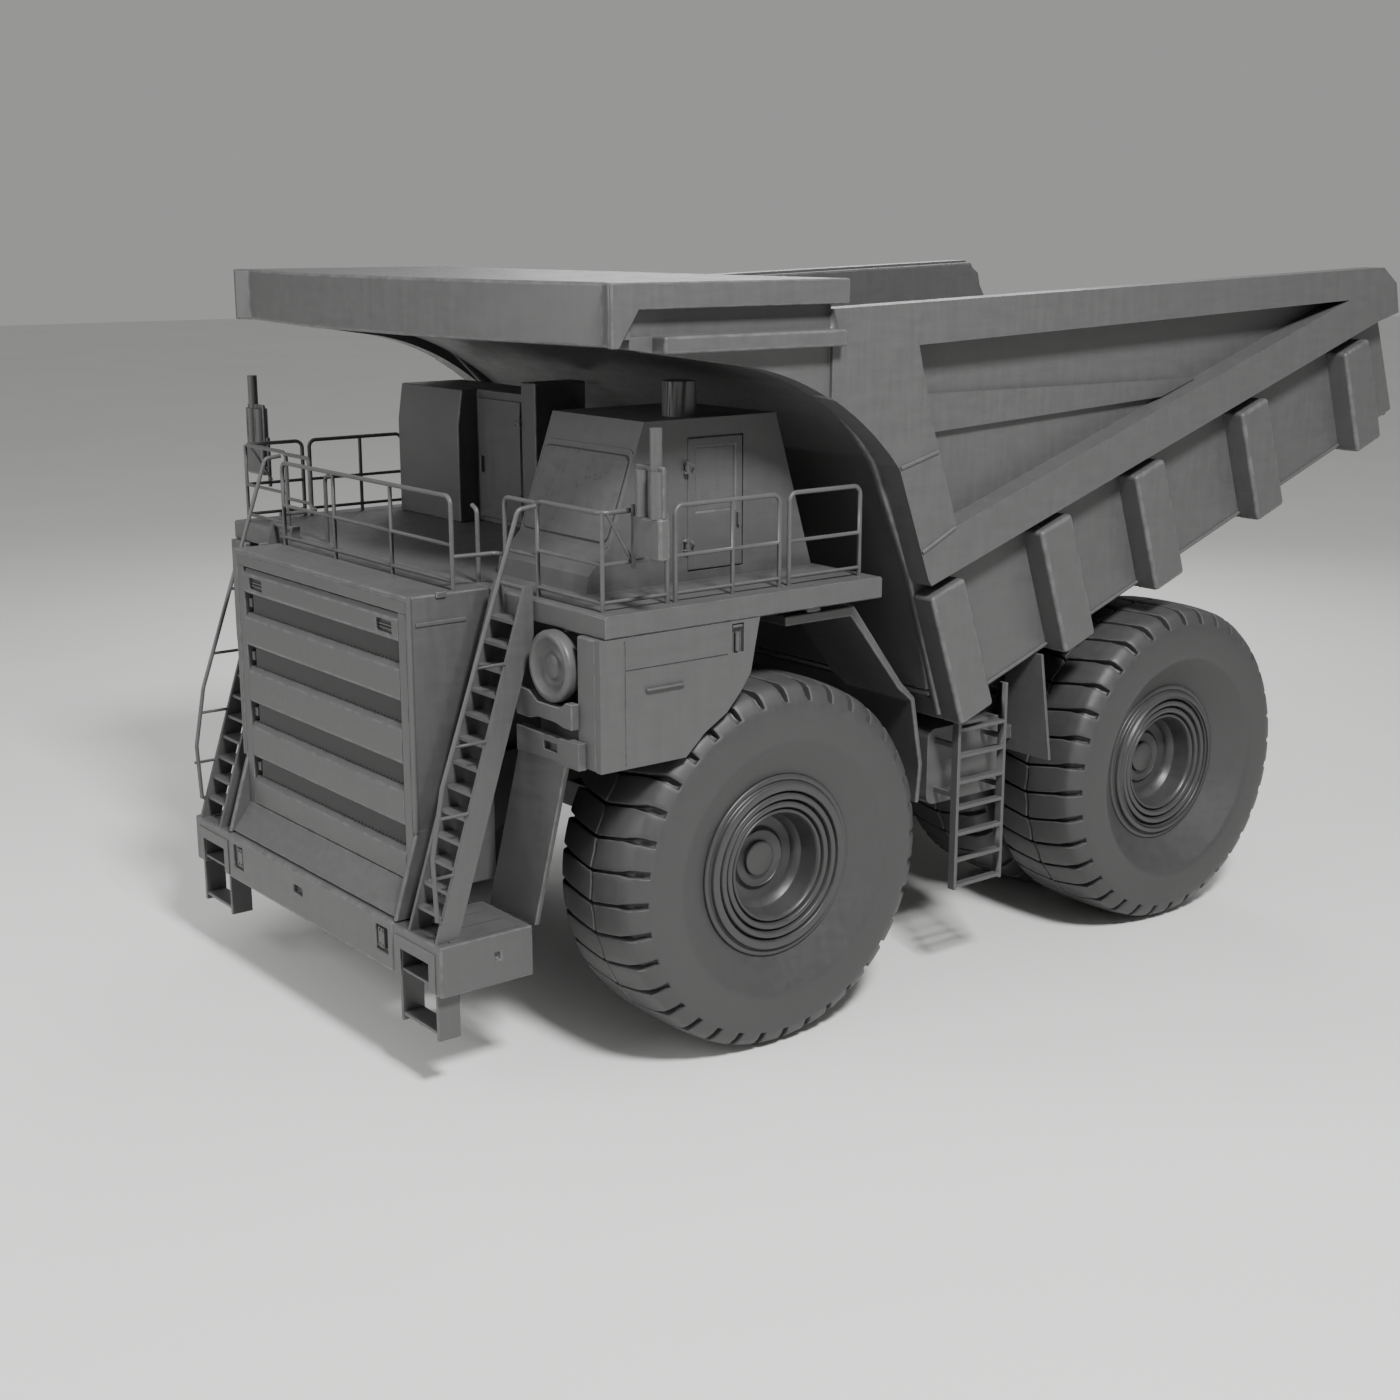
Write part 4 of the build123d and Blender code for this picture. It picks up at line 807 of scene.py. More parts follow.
def rim_outline(wheel):
    """Rim's outline: flange, stepped rings, bore, hub and back; an inner rim ends after the flange."""
    if wheel == "inner":
        return RIM_FLANGE[:6] + INNER_STEP + RIM_BACK
    front = list(RIM_FLANGE)
    for outer, inner, crest, groove in RIM_RINGS:
        step = CREST_ROUND if outer - inner > 3 * CREST_ROUND else CREST_ROUND / 2
        front += [
            (crest + step, outer), (crest, outer - step), (crest, inner + step), (crest + step, inner),
            (groove - 0.01, inner - 0.008), (groove, inner - 0.014),
        ]
    front = [(inwards + RIM_SHIFT[wheel], radius) for inwards, radius in front + list(RIM_BORE)]
    front[0] = RIM_FLANGE[0]
    face = HUB_FACE[wheel]
    hub = [(front[-1][0] + 0.02, 0.36), (face + 0.03, 0.335)]
    hub += [(face + depth, radius) for radius, depth in HUB_HALF]
    return tuple(front + hub) + HUB_BACK + RIM_BACK


def rim_mesh(outer_face, sign, station_y, wheel):
    """Rim with its stepped rings and, on an outer wheel, disc, hub and cap."""
    bm = new_shape()
    lathed(bm, rim_outline(wheel), Matrix(), RIM_STEPS)
    place_wheel(bm, outer_face, sign, station_y)
    return bm


def dress_wheels(make, front, rear, ending, finish):
    """One piece in place of each front node and, as a pair of wheels, of each rear node."""
    for side, sign in (("left", 1), ("right", -1)):
        name = f"{front}_{side}"
        piece(f"{name}_{ending}", make(OUTER_FACE, sign, FRONT_Y, "front"), BODY_OF[name], finish, (name,))
        name = f"{rear}_{side}"
        pair = joined(make(OUTER_FACE, sign, REAR_Y, "rear"), make(INNER_FACE, sign, REAR_Y, "inner"))
        piece(f"{name}_{ending}", pair, BODY_OF[name], finish, (name,))


class TruckBuildTyres(bpy.types.Operator):
    """Build the six treaded tyres"""

    bl_idname = "truck.build_tyres"
    bl_label = "Tyres"

    def execute(self, context):
        dress_wheels(tyre_mesh, "front_tyre", "rear_tyres", "treaded", "tyre")
        return {"FINISHED"}


class TruckBuildRims(bpy.types.Operator):
    """Build the stepped rims with their hubs"""

    bl_idname = "truck.build_rims"
    bl_label = "Rims"

    def execute(self, context):
        dress_wheels(rim_mesh, "front_rim", "rear_rims", "turned", "rim_paint")
        return {"FINISHED"}


# Dump body

CANOPY_X = 3.95
CANOPY_CORNER = -1.95
CANOPY_FRONT = ((3.91, -2.18), (3.69, -2.08), (1.30, -2.45))
ROOF_LOW = 7.96
ROOF_TOP = 8.04
LIP_LOW = 7.44
FASCIA_LOW = 7.79
SKIM = 0.001
LIP_OUTER = ((3.93, -2.10), *CANOPY_FRONT)
LIP_INNER = ((3.86, -2.08), (3.61, -2.00), (1.22, -2.37))
FASCIA = (
    # station, height
    (-2.165, LIP_LOW), (-2.08, LIP_LOW), (-1.85, FASCIA_LOW), (0.78, FASCIA_LOW), (0.78, ROOF_TOP - SKIM),
    (-2.165, ROOF_TOP - SKIM),
)
FASCIA_X = (3.87, CANOPY_X)
FLOOR_SLOPE = math.radians(19.3)
FLOOR_START = (2.6, 3.1)
RIB_WIDTH = 0.54
RIB_EDGE = 0.045
RIBS = (
    # distance along the floor, height of the stakes
    (0.03, 1.60), (1.83, 1.56), (3.515, 1.51), (5.56, 1.45), (7.73, 1.38),
)
BOLSTER = ((-3.62, 3.62), (0.004, 0.296))
STAKE_X = (3.57, 3.90)
SWAGE = ((2.11, 6.38), (1.98, 6.80), (6.70, 6.76), (6.08, 6.57))
BEAD_R = 0.022


def canopy_outline(inset, rear):
    """Canopy's left plan outline, inset from its front and side, back to a station."""
    side = CANOPY_X - inset
    front = [(x - inset, station + inset) for x, station in CANOPY_FRONT]
    return [(side, rear), (side, CANOPY_CORNER + inset / 3), *front]


def canopy_lip(bm):
    """Front lip: a band that follows the canopy's front edge."""
    plan_slab(bm, whole(LIP_OUTER) + whole(LIP_INNER)[::-1], LIP_LOW, ROOF_TOP)


def canopy():
    """Canopy with its lip, fascias, underside and the recessed walls over the ledge."""
    edge = bpy.context.scene.truck_plate.thick_edge
    underside, roof = whole(canopy_outline(0.08, -1.90)), whole(canopy_outline(0.03, 0.775))
    sides = (
        (edge / 2, slab, FASCIA, *FASCIA_X),
        (edge / 2, box, (3.50, 3.80), (-1.90, 0.66), (7.53, 7.98)),  # recessed wall
    )
    middle = (
        (edge, canopy_lip),
        (edge / 2, plan_slab, underside, 7.517, 7.597),
        (edge / 3, plan_slab, roof, ROOF_LOW, ROOF_TOP - 3 * SKIM),
    )
    formed("body_canopy", assembled(sides, middle), "dump_body_paint")


def floor_place(x, along, above):
    """(x, station, height) of a point along and above the sloping floor's lower face."""
    turn_y, turn_z = math.cos(FLOOR_SLOPE), math.sin(FLOOR_SLOPE)
    station, height = FLOOR_START
    return x, station + along * turn_y - above * turn_z, height + along * turn_z + above * turn_y


def rib(bm, foot, x_span, above_span):
    """Straight length of a rib, square to the floor."""
    (left, right), (low, top) = x_span, above_span
    outline = ((left, low), (right, low), (right, top), (left, top))
    corners = [place(floor_place(x, foot, above)) for x, above in outline]
    extruded(bm, corners, place(floor_place(0, RIB_WIDTH, 0)) - place(floor_place(0, 0, 0)))


def ribs():
    """Five ribs, each a bolster under the floor with a stake up each side."""
    bm = new_shape()
    for foot, top in RIBS:
        added(bm, RIB_EDGE, rib, foot, *BOLSTER)
        for span in both_ways(STAKE_X):
            added(bm, RIB_EDGE, rib, foot, span, (0.0, top))
    formed("body_side_ribs", bm, "dump_body_paint")


def side_trims():
    """Ledge under the canopy, collar beads on the posts, swages on the walls and floor weld beads."""
    rows = [
        (0.03, box, (3.58, 4.05), (-1.63, 0.67), (7.376, 7.546)),  # ledge
        (0, rod, (3.9, 1.58, 6.07), (3.9, 2.13, 6.21), BEAD_R),  # upper collar
        (0, rod, (3.9, 1.93, 5.14), (3.9, 2.42, 5.37), BEAD_R),  # lower collar
        (0.05, slab, SWAGE, 3.56, 3.67),
    ]
    for (foot, _), (ahead, _) in zip(RIBS, RIBS[1:]):
        ends = [floor_place(3.605, along, 0.09) for along in (foot + RIB_WIDTH, ahead)]
        rows.append((0, rod, *ends, BEAD_R, 10))
    made_piece("body_side_trims", assembled(rows), "dump_body", "dump_body_paint")


class TruckBuildBody(bpy.types.Operator):
    """Build the dump body's canopy, ribs and trims and soften its plates"""

    bl_idname = "truck.build_body"
    bl_label = "Dump body"

    def execute(self, context):
        edge = context.scene.truck_plate.thick_edge
        canopy()
        ribs()
        side_trims()
        plates = "body_side_frames body_side_walls body_front_wall body_floor body_beams"
        softened(plates, edge, "dump_body_paint")
        return {"FINISHED"}


# Front end

NOSE_FRONT = -3.27
GRILLE_BACK = -3.14
GRILLE_BANDS = ((1.96, 2.32), (2.545, 2.97), (3.20, 3.63), (3.865, 4.255), (4.48, 4.77))
GRILLE_HALF = 1.755
GRILLE_SIDE = 1.91
BAND_EDGE = 0.014
POST_Z = (1.91, 4.79)
BACK_PLATE = ((-1.91, 1.91), (-3.145, -3.08), (1.905, 4.905))
LAMP_X = (1.31, 1.62)
LAMP_Z = (4.545, 4.675)
LAMP_BARS = (4.575, 4.61)
MESH_RIGHT = -1.62
MESH_STATIONS = (-3.225, -3.165)
MESH_BACK = -3.15
MESH_STEP = 0.0375
MESH_LAP = 0.02
CATCH_X = (-1.735, -1.665)
CATCH_HALF = 0.05


def band(bm, low, high):
    """One louvre band of the grille."""
    outline = (
        (GRILLE_BACK, low), (NOSE_FRONT + 0.025, low), (NOSE_FRONT, low + 0.03), (NOSE_FRONT, high - 0.06),
        (NOSE_FRONT + 0.04, high), (GRILLE_BACK, high),
    )
    slab(bm, outline, -GRILLE_HALF, GRILLE_HALF)


def lamp_band(bm, low, high):
    """Top band with a recess for a lamp at each end."""
    band(bm, low, high)
    for span in both_ways(LAMP_X):
        sunken(bm, Y, at(NOSE_FRONT), {X: span, Z: LAMP_Z}, 0.06)


def mesh_strip(bm, low, high):
    """Upright folded mesh in the gap between two bands."""
    count = round((GRILLE_HALF - MESH_RIGHT) / MESH_STEP)
    folds = [(MESH_RIGHT + step * MESH_STEP, MESH_STATIONS[step % 2]) for step in range(count + 1)]
    ends = [(folds[-1][0], MESH_BACK), (MESH_RIGHT, MESH_BACK)]
    plan_slab(bm, folds + ends, low - MESH_LAP, high + MESH_LAP)


def grille():
    """Louvre bands with lamps in the top one, folded mesh between them and side posts."""
    bm = new_shape()
    for span in both_ways((GRILLE_HALF, GRILLE_SIDE)):
        added(bm, 0.012, box, span, (NOSE_FRONT + 0.004, GRILLE_BACK), POST_Z)
    for low, high in GRILLE_BANDS[:-1]:
        added(bm, BAND_EDGE, band, low, high)
    added(bm, BAND_EDGE, lamp_band, *GRILLE_BANDS[-1])
    for (_, low), (high, _) in zip(GRILLE_BANDS, GRILLE_BANDS[1:]):
        added(bm, 0, mesh_strip, low, high)
        middle = (low + high) / 2
        catch_z = (middle - CATCH_HALF, middle + CATCH_HALF)
        added(bm, 0.008, box, CATCH_X, (MESH_STATIONS[0], GRILLE_BACK), catch_z)
    for left, right in both_ways(LAMP_X):
        for height in LAMP_BARS:
            added(bm, 0.003, box, (left + 0.02, right - 0.02), (-3.245, -3.20), (height, height + 0.014))
    added(bm, 0, box, *BACK_PLATE)
    formed("radiator_grille", bm)


WING = ((-3.27, 2.56), (-3.27, 2.50), (-3.54, 1.63), (-3.10, 1.63), (-2.90, 2.56))
HOUSING_ARCH = whole([(1.97, 1.85), (1.97, 4.97)]) + whole([(1.91, 1.85), (1.91, 4.91)])[::-1]
HOUSING_BACK = -2.31
LOW_PANEL = ((-3.27, 1.97), (-3.50, 1.66), (-3.47, 1.62), (-3.20, 1.62), (-3.20, 1.97))


def housing():
    """Radiator housing with its header, corner tubes, wing plates and the panel down to the bumper."""
    edge = bpy.context.scene.truck_plate.sheet_edge
    sides = (
        (edge, slab, WING, 1.905, 1.975),
        (0.008, rod, (1.97, -3.255, 2.54), (1.97, -3.255, 4.965), 0.028, 20),  # corner tube
        (0.006, box, (1.965, 1.985), (-3.19, -2.60), (4.66, 4.70)),  # side bead
        (0.01, box, (1.965, 1.995), (-2.95, -2.83), (4.93, 4.99)),  # side lug
    )
    middle = (
        (edge, front_slab, HOUSING_ARCH, NOSE_FRONT, HOUSING_BACK),
        (edge / 3, box, (-1.92, 1.92), (NOSE_FRONT + 0.002, -3.19), (4.79, 4.92)),  # header
        (0, box, (-1.92, 1.92), (-3.20, HOUSING_BACK), (1.855, 1.905)),  # floor
        (edge / 2, slab, LOW_PANEL, -GRILLE_SIDE, GRILLE_SIDE),
    )
    formed("radiator_housing", assembled(sides, middle))


BUMPER_FACE = -3.56
POCKET_X = (1.575, 1.82)
POCKET_Z = (1.245, 1.52)
COVER_X = (1.605, 1.73)
COVER_Z = (1.275, 1.49)
COVER_INSET = 0.03
GRIP_BARS = (2.05, 2.35, 2.65)
STEP_MOUTH = ((2.08, 1.08), (2.08, 1.39), (2.64, 1.39), (2.64, 1.08))
STEP_BOX = ((1.90, 1.62), (1.90, 1.08), *STEP_MOUTH, (2.87, 1.08), (2.87, 1.62))
STEP_RIM = (
    # x, height: the raised edge round the mouth
    (1.97, 1.52), (1.97, 1.10), (2.08, 1.10), (2.08, 1.39), (2.64, 1.39), (2.64, 1.10), (2.76, 1.10),
    (2.76, 1.52),
)


def bumper_beam(bm):
    """Bumper beam with its hitch slot and a pocket at each end."""
    box(bm, (-1.925, 1.925), (BUMPER_FACE, -3.10), (1.07, 1.63))
    front = [edge for edge in bm.edges if all(vert.co.y < at(-3.5) for vert in edge.verts)]
    long = [edge for edge in front if edge.calc_length() > 3.0]
    bmesh.ops.bevel(bm, geom=long, offset=0.025, affect="EDGES", segments=1, profile=0.5, material=-1)
    sunken(bm, Y, at(BUMPER_FACE), {X: (-0.29, -0.08), Z: (1.35, 1.44)}, 0.06)
    for span in both_ways(POCKET_X):
        sunken(bm, Y, at(BUMPER_FACE), {X: span, Z: POCKET_Z}, 0.05)


def step_box(bm):
    """Step box at the bumper's end, with an opening for a step and a small hole in its side."""
    front_slab(bm, STEP_BOX, -3.55, -2.46)
    sunken(bm, X, STEP_BOX[-1][0], {Y: (at(-2.91), at(-2.85)), Z: (1.34, 1.42)}, -0.05)


def bumper():
    """Bumper with pockets, step boxes at its ends and the short ladders under them."""
    rows = [
        (0.01, box, (2.0, 2.045), (-3.53, -3.27), (0.58, 1.10)),  # inner post
        (0.01, box, (2.71, 2.755), (-3.53, -3.27), (0.58, 1.10)),  # outer post
        (0.01, box, (2.02, 2.73), (-3.52, -3.28), (0.64, 0.68)),  # rung
        (0.01, box, (2.07, 2.65), (-3.54, -3.26), (1.15, 1.18)),  # step in the mouth
        (0.022, step_box),
        (0, box, (2.06, 2.66), (-3.27, -2.48), (1.09, 1.40)),  # block behind the mouth
        (0.006, front_slab, STEP_RIM, -3.564, -3.54),
        (0.006, box, COVER_X, (BUMPER_FACE + 0.012, BUMPER_FACE + 0.06), COVER_Z),
    ]
    for height in (COVER_Z[0] + COVER_INSET, COVER_Z[1] - COVER_INSET):
        for x in (COVER_X[0] + COVER_INSET, COVER_X[1] - COVER_INSET):
            rows.append((0, bolt, x, BUMPER_FACE + 0.013, height, (0, -1, 0)))
    for x in GRIP_BARS:
        rows.append((0.01, box, (x, x + 0.16), (-3.40, -2.60), (1.615, 1.632)))
    formed("front_bumper", assembled(rows, [(0.016, bumper_beam)]))


SKIRT = (
    # station, height
    (-2.37, 4.74), (-2.37, 3.44), (-1.34, 3.44), (-1.11, 3.65), (-0.82, 3.82), (-0.66, 3.99), (-0.52, 4.18),
    (-0.40, 4.74),
)
SKIRT_X = (3.90, 3.985)
SKIRT_CUTS = (
    # station span, height span, depth: upright seam, level seam and latch recess
    ((-2.09, -2.07), (3.47, 4.70), -0.012), ((-2.07, -0.82), (4.405, 4.42), -0.012),
    ((-0.76, -0.61), (4.41, 4.71), -0.05),
)
UPPER_LAMPS = (
    # x, height
    (2.64, 3.80), (2.87, 3.80), (3.02, 3.84), (3.33, 3.84), (3.48, 3.81), (3.62, 3.81), (3.62, 4.07),
    (3.51, 4.07), (3.41, 4.00), (3.02, 4.00), (2.87, 4.085), (2.64, 4.085),
)
LOWER_LAMPS = (
    (2.64, 3.425), (3.34, 3.455), (3.40, 3.43), (3.73, 3.43), (3.73, 3.70), (3.42, 3.70), (3.34, 3.68),
    (2.64, 3.69),
)
LAMP_SPAN = (-2.455, -2.36)
LAMP_SUPPORT = ((1.99, 1.60), (2.86, 1.60), (3.48, 3.47), (2.64, 3.47))
SKIRT_HANDLE = ((3.98, -1.83, 4.20), (4.015, -1.83, 4.20), (4.015, -1.38, 4.20), (3.98, -1.38, 4.20))


def skirt(bm):
    """Side skirt with the seams of its panels and a latch recess."""
    slab(bm, SKIRT, *SKIRT_X)
    for (front, rear), heights, depth in SKIRT_CUTS:
        sunken(bm, X, SKIRT_X[1], {Y: (at(front), at(rear)), Z: heights}, depth)


def lower_lamp(bm):
    """Lower lamp housing with a slot in its face."""
    front_slab(bm, LOWER_LAMPS, *LAMP_SPAN)
    sunken(bm, Y, at(LAMP_SPAN[0]), {X: (3.13, 3.36), Z: (3.535, 3.625)}, 0.07)


def side_boxes():
    """Side skirts, corner boxes, lamp housings and their sloping supports."""
    rows = (
        (0.004, skirt),
        (0.02, box, (3.60, 3.905), (-2.371, -1.65), (3.441, 4.739)),  # corner box
        (0.012, front_slab, UPPER_LAMPS, *LAMP_SPAN),
        (0.012, lower_lamp),
        (0.02, box, (2.65, 3.62), (-2.38, -1.98), (3.83, 3.99)),  # behind the upper lamps
        (0.02, box, (2.65, 3.62), (-2.38, -1.98), (3.455, 3.60)),  # behind the lower lamps
        (0.01, box, (2.70, 3.40), (-2.20, -2.00), (3.59, 3.84)),  # between the lamps
        (0.014, front_slab, LAMP_SUPPORT, -2.43, -2.37),
        (0.004, rod, (3.965, -0.745, 4.68), (3.965, -0.625, 4.68), 0.016),  # latch's pin
        (0.006, rod, (3.965, -0.685, 4.43), (3.965, -0.685, 4.62), 0.022),  # latch's grip
        (0, bent_tube, SKIRT_HANDLE, 0.013, 0.03),
    )
    formed("side_boxes", assembled(rows))


AIR_PROFILE = (
    # depth from the front, radius: boss, dish, rolled rim, neck and canister
    (0.04, 0.0), (0.04, 0.10), (0.06, 0.13), (0.095, 0.15), (0.095, 0.205), (0.012, 0.275), (0.0, 0.295),
    (0.003, 0.325), (0.018, 0.348), (0.045, 0.36), (0.115, 0.36), (0.135, 0.352), (0.17, 0.325), (0.17, 0.31),
    (0.655, 0.31), (0.655, 0.0),
)


def air_cleaners():
    """Round air cleaners under the deck's front corners."""
    spot = Matrix.Translation(place((3.215, -2.455, 4.375))) @ Matrix.Rotation(math.pi / 2, 4, "Z")
    saddle = (0.012, box, (3.065, 3.365), (-2.15, -1.90), (4.575, 4.745))
    formed("air_cleaners", assembled([(0, lathed, AIR_PROFILE, spot, 64), saddle]))


MIRROR_STATION = -1.865
BAR_R = 0.020
TUBE_R = 0.024


def mirrors():
    """Mirror heads with their lower boxes, twin cups, blade, post and arms."""
    rows = [
        (0.03, box, (3.91, 4.35), (-1.93, -1.80), (5.50, 5.90)),  # lower box
        (0.015, box, (3.915, 4.345), (-1.886, -1.844), (5.89, 6.38)),  # blade
        (0.03, rod, (4.21, MIRROR_STATION, 6.33), (4.21, MIRROR_STATION, 6.73), 0.06, 24),  # mast
        (0, rod, (3.848, MIRROR_STATION, 5.37), (3.848, MIRROR_STATION, 5.98), 0.024),  # post
    ]
    for x in (4.02, 4.24):
        rows.append((0.014, rod, (x, MIRROR_STATION, 5.89), (x, MIRROR_STATION, 6.33), 0.085, 28))
        rows.append((0.002, box, (x - 0.012, x + 0.012), (-1.955, -1.94), (5.98, 6.22)))
    for height in (5.60, 5.85):
        rows.append((0, rod, (3.848, MIRROR_STATION, height), (3.95, MIRROR_STATION, height), BAR_R))
    formed("mirrors", assembled(rows))


LOW_BAR_Z = 5.06
LOW_BARS = (
    # x and station at both ends
    ((3.80, -1.33), (3.80, 0.0)), ((3.80, 0.13), (3.80, 1.10)), ((2.70, -2.20), (3.80, -2.20)),
    ((3.80, -2.20), (3.80, -1.43)),
)
GATE = ((2.70, -2.2, 5.90), (2.11, -2.2, 5.90), (2.11, -2.2, 5.31), (1.96, -2.2, 5.31), (1.90, -2.70, 5.31))
HOOK = ((1.65, -2.24, 4.97), (1.65, -2.24, 5.72), (1.56, -2.24, 5.76))


def rail_extras():
    """Low bars of the handrails, gates beside the stairs, hooked posts and braces."""
    rows = [(0, rod, (*start, LOW_BAR_Z), (*end, LOW_BAR_Z), BAR_R) for start, end in LOW_BARS]
    rows += [
        (0, bent_tube, GATE, TUBE_R, 0.09, 14),
        (0, rod, (2.11, -2.2, 5.37), (2.70, -2.2, 5.37), BAR_R),  # gate's lower bar
        (0, bent_tube, HOOK, TUBE_R, 0.06, 14),
        (0, rod, (3.80, -2.14, 5.91), (3.80, MIRROR_STATION, 5.46), 0.018),  # brace to the mirror
        (0, rod, (2.21, -2.37, 5.07), (2.76, -2.37, 5.07), TUBE_R),  # bar over the stairs
    ]
    nose_bar = (0, rod, (-1.90, -2.70, LOW_BAR_Z), (1.90, -2.70, LOW_BAR_Z), BAR_R)
    made_piece("handrail_bars", assembled(rows, [nose_bar]))


# Cab

SCREEN_MIDDLE = (2.115, -1.3294, 5.87)
SCREEN_WIDTH = 1.51
SCREEN_HEIGHT = 0.895
SCREEN_LEAN = math.atan(0.3629)


def pane(bm, wider, taller, thickness, corner):
    """Upright plate at the windscreen's place, larger by two measures and with rounded corners."""
    extent = Vector((SCREEN_WIDTH + wider, thickness, SCREEN_HEIGHT + taller))
    bmesh.ops.create_cube(bm, size=1.0, matrix=Matrix.LocRotScale(None, None, extent))
    through = [edge for edge in bm.edges if abs(edge.verts[0].co.y - edge.verts[1].co.y) > thickness / 2]
    bmesh.ops.bevel(bm, geom=through, offset=corner, affect="EDGES", segments=5, profile=0.5, material=-1)
    turn = Matrix.Translation(place(SCREEN_MIDDLE)) @ Matrix.Rotation(-SCREEN_LEAN, 4, "X")
    bmesh.ops.transform(bm, matrix=turn, verts=bm.verts)


def windscreen():
    """Bonded windscreen with its frame plate, a near-black rubber gasket that also paints the shade of the
    gap round the pane, and the inner side window.
    """
    # after the edge radius and pane: how much wider, how much taller, thickness, corner radius
    made_piece("windscreen_frame", added(new_shape(), 0.004, pane, 0.10, 0.16, 0.016, 0.10))
    # Near-black gasket between frame and glass: rubber, and painted shade of the gap round the pane
    made_piece("windscreen_seal", added(new_shape(), 0.003, pane, 0.03, 0.03, 0.028, 0.09), finish="seal_and_gap_shade")
    glass = added(new_shape(), 0.004, pane, 0.0, 0.0, 0.040, 0.08)
    added(glass, 0.004, box, (1.325, 1.345), (-0.70, 0.40), (5.60, 6.35))
    formed("cab_glass", glass, "window")


def deck_box():
    """Low equipment box between the cab and the cabinet, with two doors."""
    rows = (
        (0.03, box, (-0.69, 1.24), (0.25, 0.78), (4.96, 6.38)),  # body
        (0.01, box, (-0.60, 0.22), (0.235, 0.26), (5.10, 6.25)),  # right door
        (0.01, box, (0.30, 1.15), (0.235, 0.26), (5.10, 6.25)),  # left door
    )
    made_piece("deck_equipment_box", assembled((), rows))


class TruckBuildFront(bpy.types.Operator):
    """Build the grille, radiator housing, bumper, side boxes, air cleaners and mirrors"""

    bl_idname = "truck.build_front"
    bl_label = "Front end"

    def execute(self, context):
        grille()
        housing()
        bumper()
        side_boxes()
        air_cleaners()
        mirrors()
        rail_extras()
        return {"FINISHED"}


class TruckBuildSheets(bpy.types.Operator):
    """Soften the cab, deck, boxes and other sheet metal, and set the windscreen"""

    bl_idname = "truck.build_sheets"
    bl_label = "Cab, deck and boxes"

    def execute(self, context):
        edge = context.scene.truck_plate.sheet_edge
        softened("deck cab_shell cab_door control_cabinet cabinet_door front_fenders side_tanks", edge)
        softened("cab_door_glass", edge / 8, "window")
        windscreen()
        deck_box()
        return {"FINISHED"}


class TruckBuildChassis(bpy.types.Operator):
    """Soften the frame, axles, stairs and hoists"""

    bl_idname = "truck.build_chassis"
    bl_label = "Chassis"

    def execute(self, context):
        plate = context.scene.truck_plate
        softened("chassis_frame front_axle rear_axle knuckle_left knuckle_right", plate.frame_edge)
        softened("steering_tie_rod suspension_struts", plate.frame_edge)
        softened("engine_block", plate.thick_edge, "engine_iron")
        softened("stairs handrails", plate.step_edge)
        for side in ("left", "right"):
            softened(f"hoist_barrel_{side}", plate.step_edge)
            softened(f"hoist_tube_{side} hoist_rod_{side}", plate.step_edge, "hoist_steel")
        return {"FINISHED"}


# Stage

FLOOR_HALF = 160.0
FLOOR_ROUGHNESS = 0.85
CAMERA_REACH = 500.0
LAMPS = (
    # name, place, side of the square, setting that holds its watts
    ("key_light", (22.0, -9.0, 27.0), 5.0, "key"), ("fill_light", (-4.0, -24.0, 12.0), 14.0, "fill"),
    ("back_light", (-16.0, 14.0, 16.0), 14.0, "fill"),
)


def add_floor(colour):
    """Wide pale floor with a faint unevenness."""
    bm = bmesh.new()
    bmesh.ops.create_grid(bm, x_segments=4, y_segments=4, size=FLOOR_HALF)
    mesh = bpy.data.meshes.new("studio_floor")
    bm.to_mesh(mesh)
    bm.free()
    material, tree, shader = new_material("studio_floor")
    shade = ranged(tree, noise(tree, object_place(tree), scale=0.15, detail=3.0), 0.3, 0.7, 0.97, 1.0)
    tree.links.new(mixed(tree, 1.0, rgba(colour), grey(tree, shade), "MULTIPLY"), shader.inputs["Base Color"])
    shader.inputs["Roughness"].default_value = FLOOR_ROUGHNESS
    mesh.materials.append(material)
    linked("studio_floor", mesh)


def add_sky(colour, strength):
    """Even light from all round."""
    world = bpy.data.worlds.new("studio")
    world.use_nodes = True
    background = world.node_tree.nodes["Background"]
    background.inputs["Color"].default_value = rgba(colour)
    background.inputs["Strength"].default_value = strength
    bpy.context.scene.world = world


def aimed(name, data, spot, back):
    """Lamp or camera at a place, with a vector from what it looks at."""
    obj = linked(name, data)
    obj.location = spot
    obj.rotation_mode = "QUATERNION"
    obj.rotation_quaternion = back.to_track_quat("Z", "Y")
    return obj


def add_lamp(name, spot, side, watts):
    """Square soft lamp aimed at the truck's middle."""
    lamp = bpy.data.lights.new(name, "AREA")
    lamp.size = side
    lamp.energy = watts
    low, high = CAD_BOX
    aimed(name, lamp, spot, Vector(spot) - (low + high) / 2)


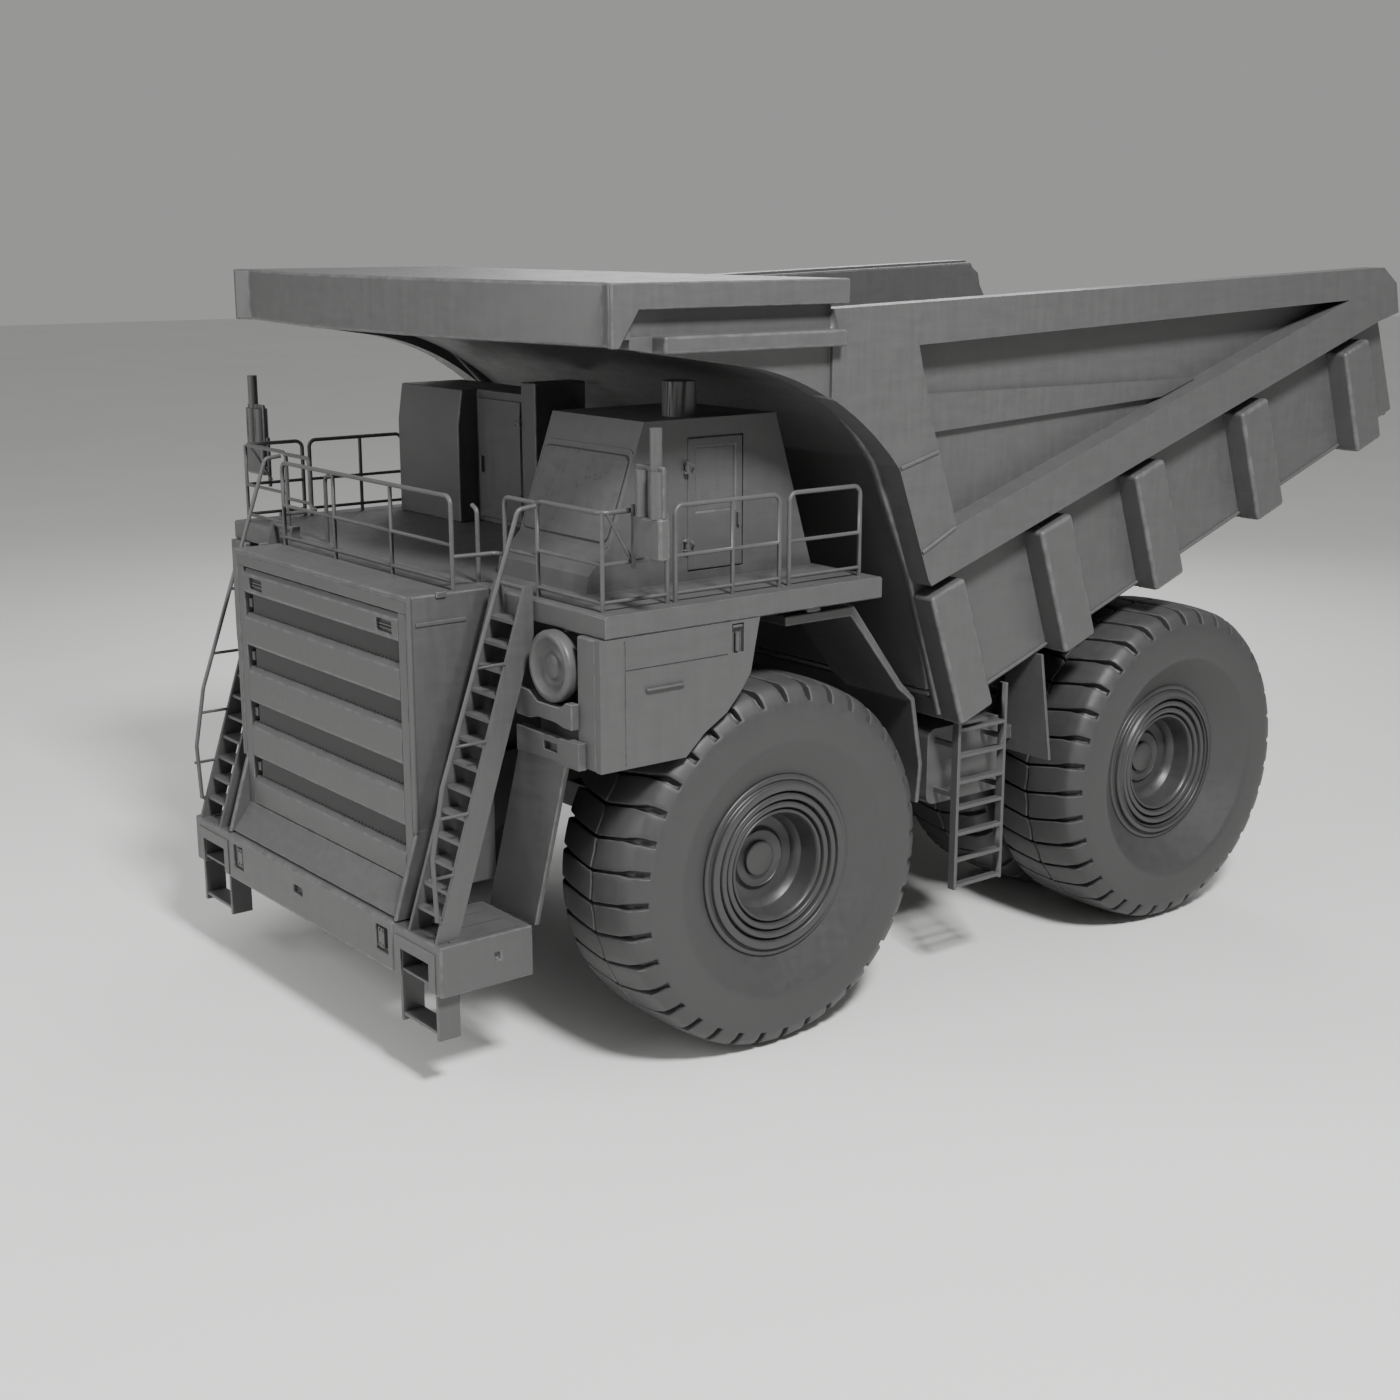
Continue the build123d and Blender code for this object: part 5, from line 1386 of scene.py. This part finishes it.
def add_camera():
    """Camera at the photograph's place and angle."""
    lens = bpy.data.cameras.new("camera")
    lens.lens = CAMERA_LENS
    lens.sensor_width = CAMERA_SENSOR
    lens.clip_end = CAMERA_REACH
    azimuth, pitch = math.radians(CAMERA_AZIMUTH), math.radians(CAMERA_PITCH)
    level = math.cos(pitch)
    back = Vector((math.sin(azimuth) * level, -math.cos(azimuth) * level, math.sin(pitch)))
    bpy.context.scene.camera = aimed("camera", lens, CAMERA_PLACE, back)


class TruckBuildStage(bpy.types.Operator):
    """Build the floor, the lights and the camera"""

    bl_idname = "truck.build_stage"
    bl_label = "Stage"

    def execute(self, context):
        stage = context.scene.truck_stage
        add_floor(stage.floor)
        add_sky(stage.floor, stage.sky)
        for name, spot, side, setting in LAMPS:
            add_lamp(name, spot, side, getattr(stage, setting))
        add_camera()
        return {"FINISHED"}


class TruckPanel(bpy.types.Panel):
    """Sidebar panel with every build step and its settings"""

    bl_idname = "VIEW3D_PT_dump_truck"
    bl_label = "Dump truck"
    bl_space_type = "VIEW_3D"
    bl_region_type = "UI"
    bl_category = "Dump truck"

    def draw(self, context):
        for group in SETTINGS.values():
            rows = self.layout.box()
            settings = getattr(context.scene, group)
            for key in settings.bl_rna.properties.keys():
                if key not in ("rna_type", "name"):
                    rows.prop(settings, key)
        for operator in BUILD_STEPS:
            self.layout.operator(operator.bl_idname)


SETTINGS = {
    TruckPaint: "truck_paint", TruckTyre: "truck_tyre", TruckPlate: "truck_plate", TruckStage: "truck_stage",
}
BUILD_STEPS = (
    TruckBuildBody, TruckBuildFront, TruckBuildSheets, TruckBuildChassis, TruckBuildTyres, TruckBuildRims,
    TruckBuildStage,
)


def register():
    """Adds the settings, the build steps and the panel."""
    for settings, name in SETTINGS.items():
        bpy.utils.register_class(settings)
        setattr(bpy.types.Scene, name, bpy.props.PointerProperty(type=settings))
    for step in BUILD_STEPS + (TruckPanel,):
        bpy.utils.register_class(step)


def unregister():
    """Takes the panel, the build steps and the settings away."""
    for step in reversed(BUILD_STEPS + (TruckPanel,)):
        bpy.utils.unregister_class(step)
    for settings, name in SETTINGS.items():
        delattr(bpy.types.Scene, name)
        bpy.utils.unregister_class(settings)


def main():
    """Builds every piece in order."""
    register()
    for step in BUILD_STEPS:
        group, name = step.bl_idname.split(".")
        getattr(getattr(bpy.ops, group), name)()


if __name__ == "__main__":
    main()
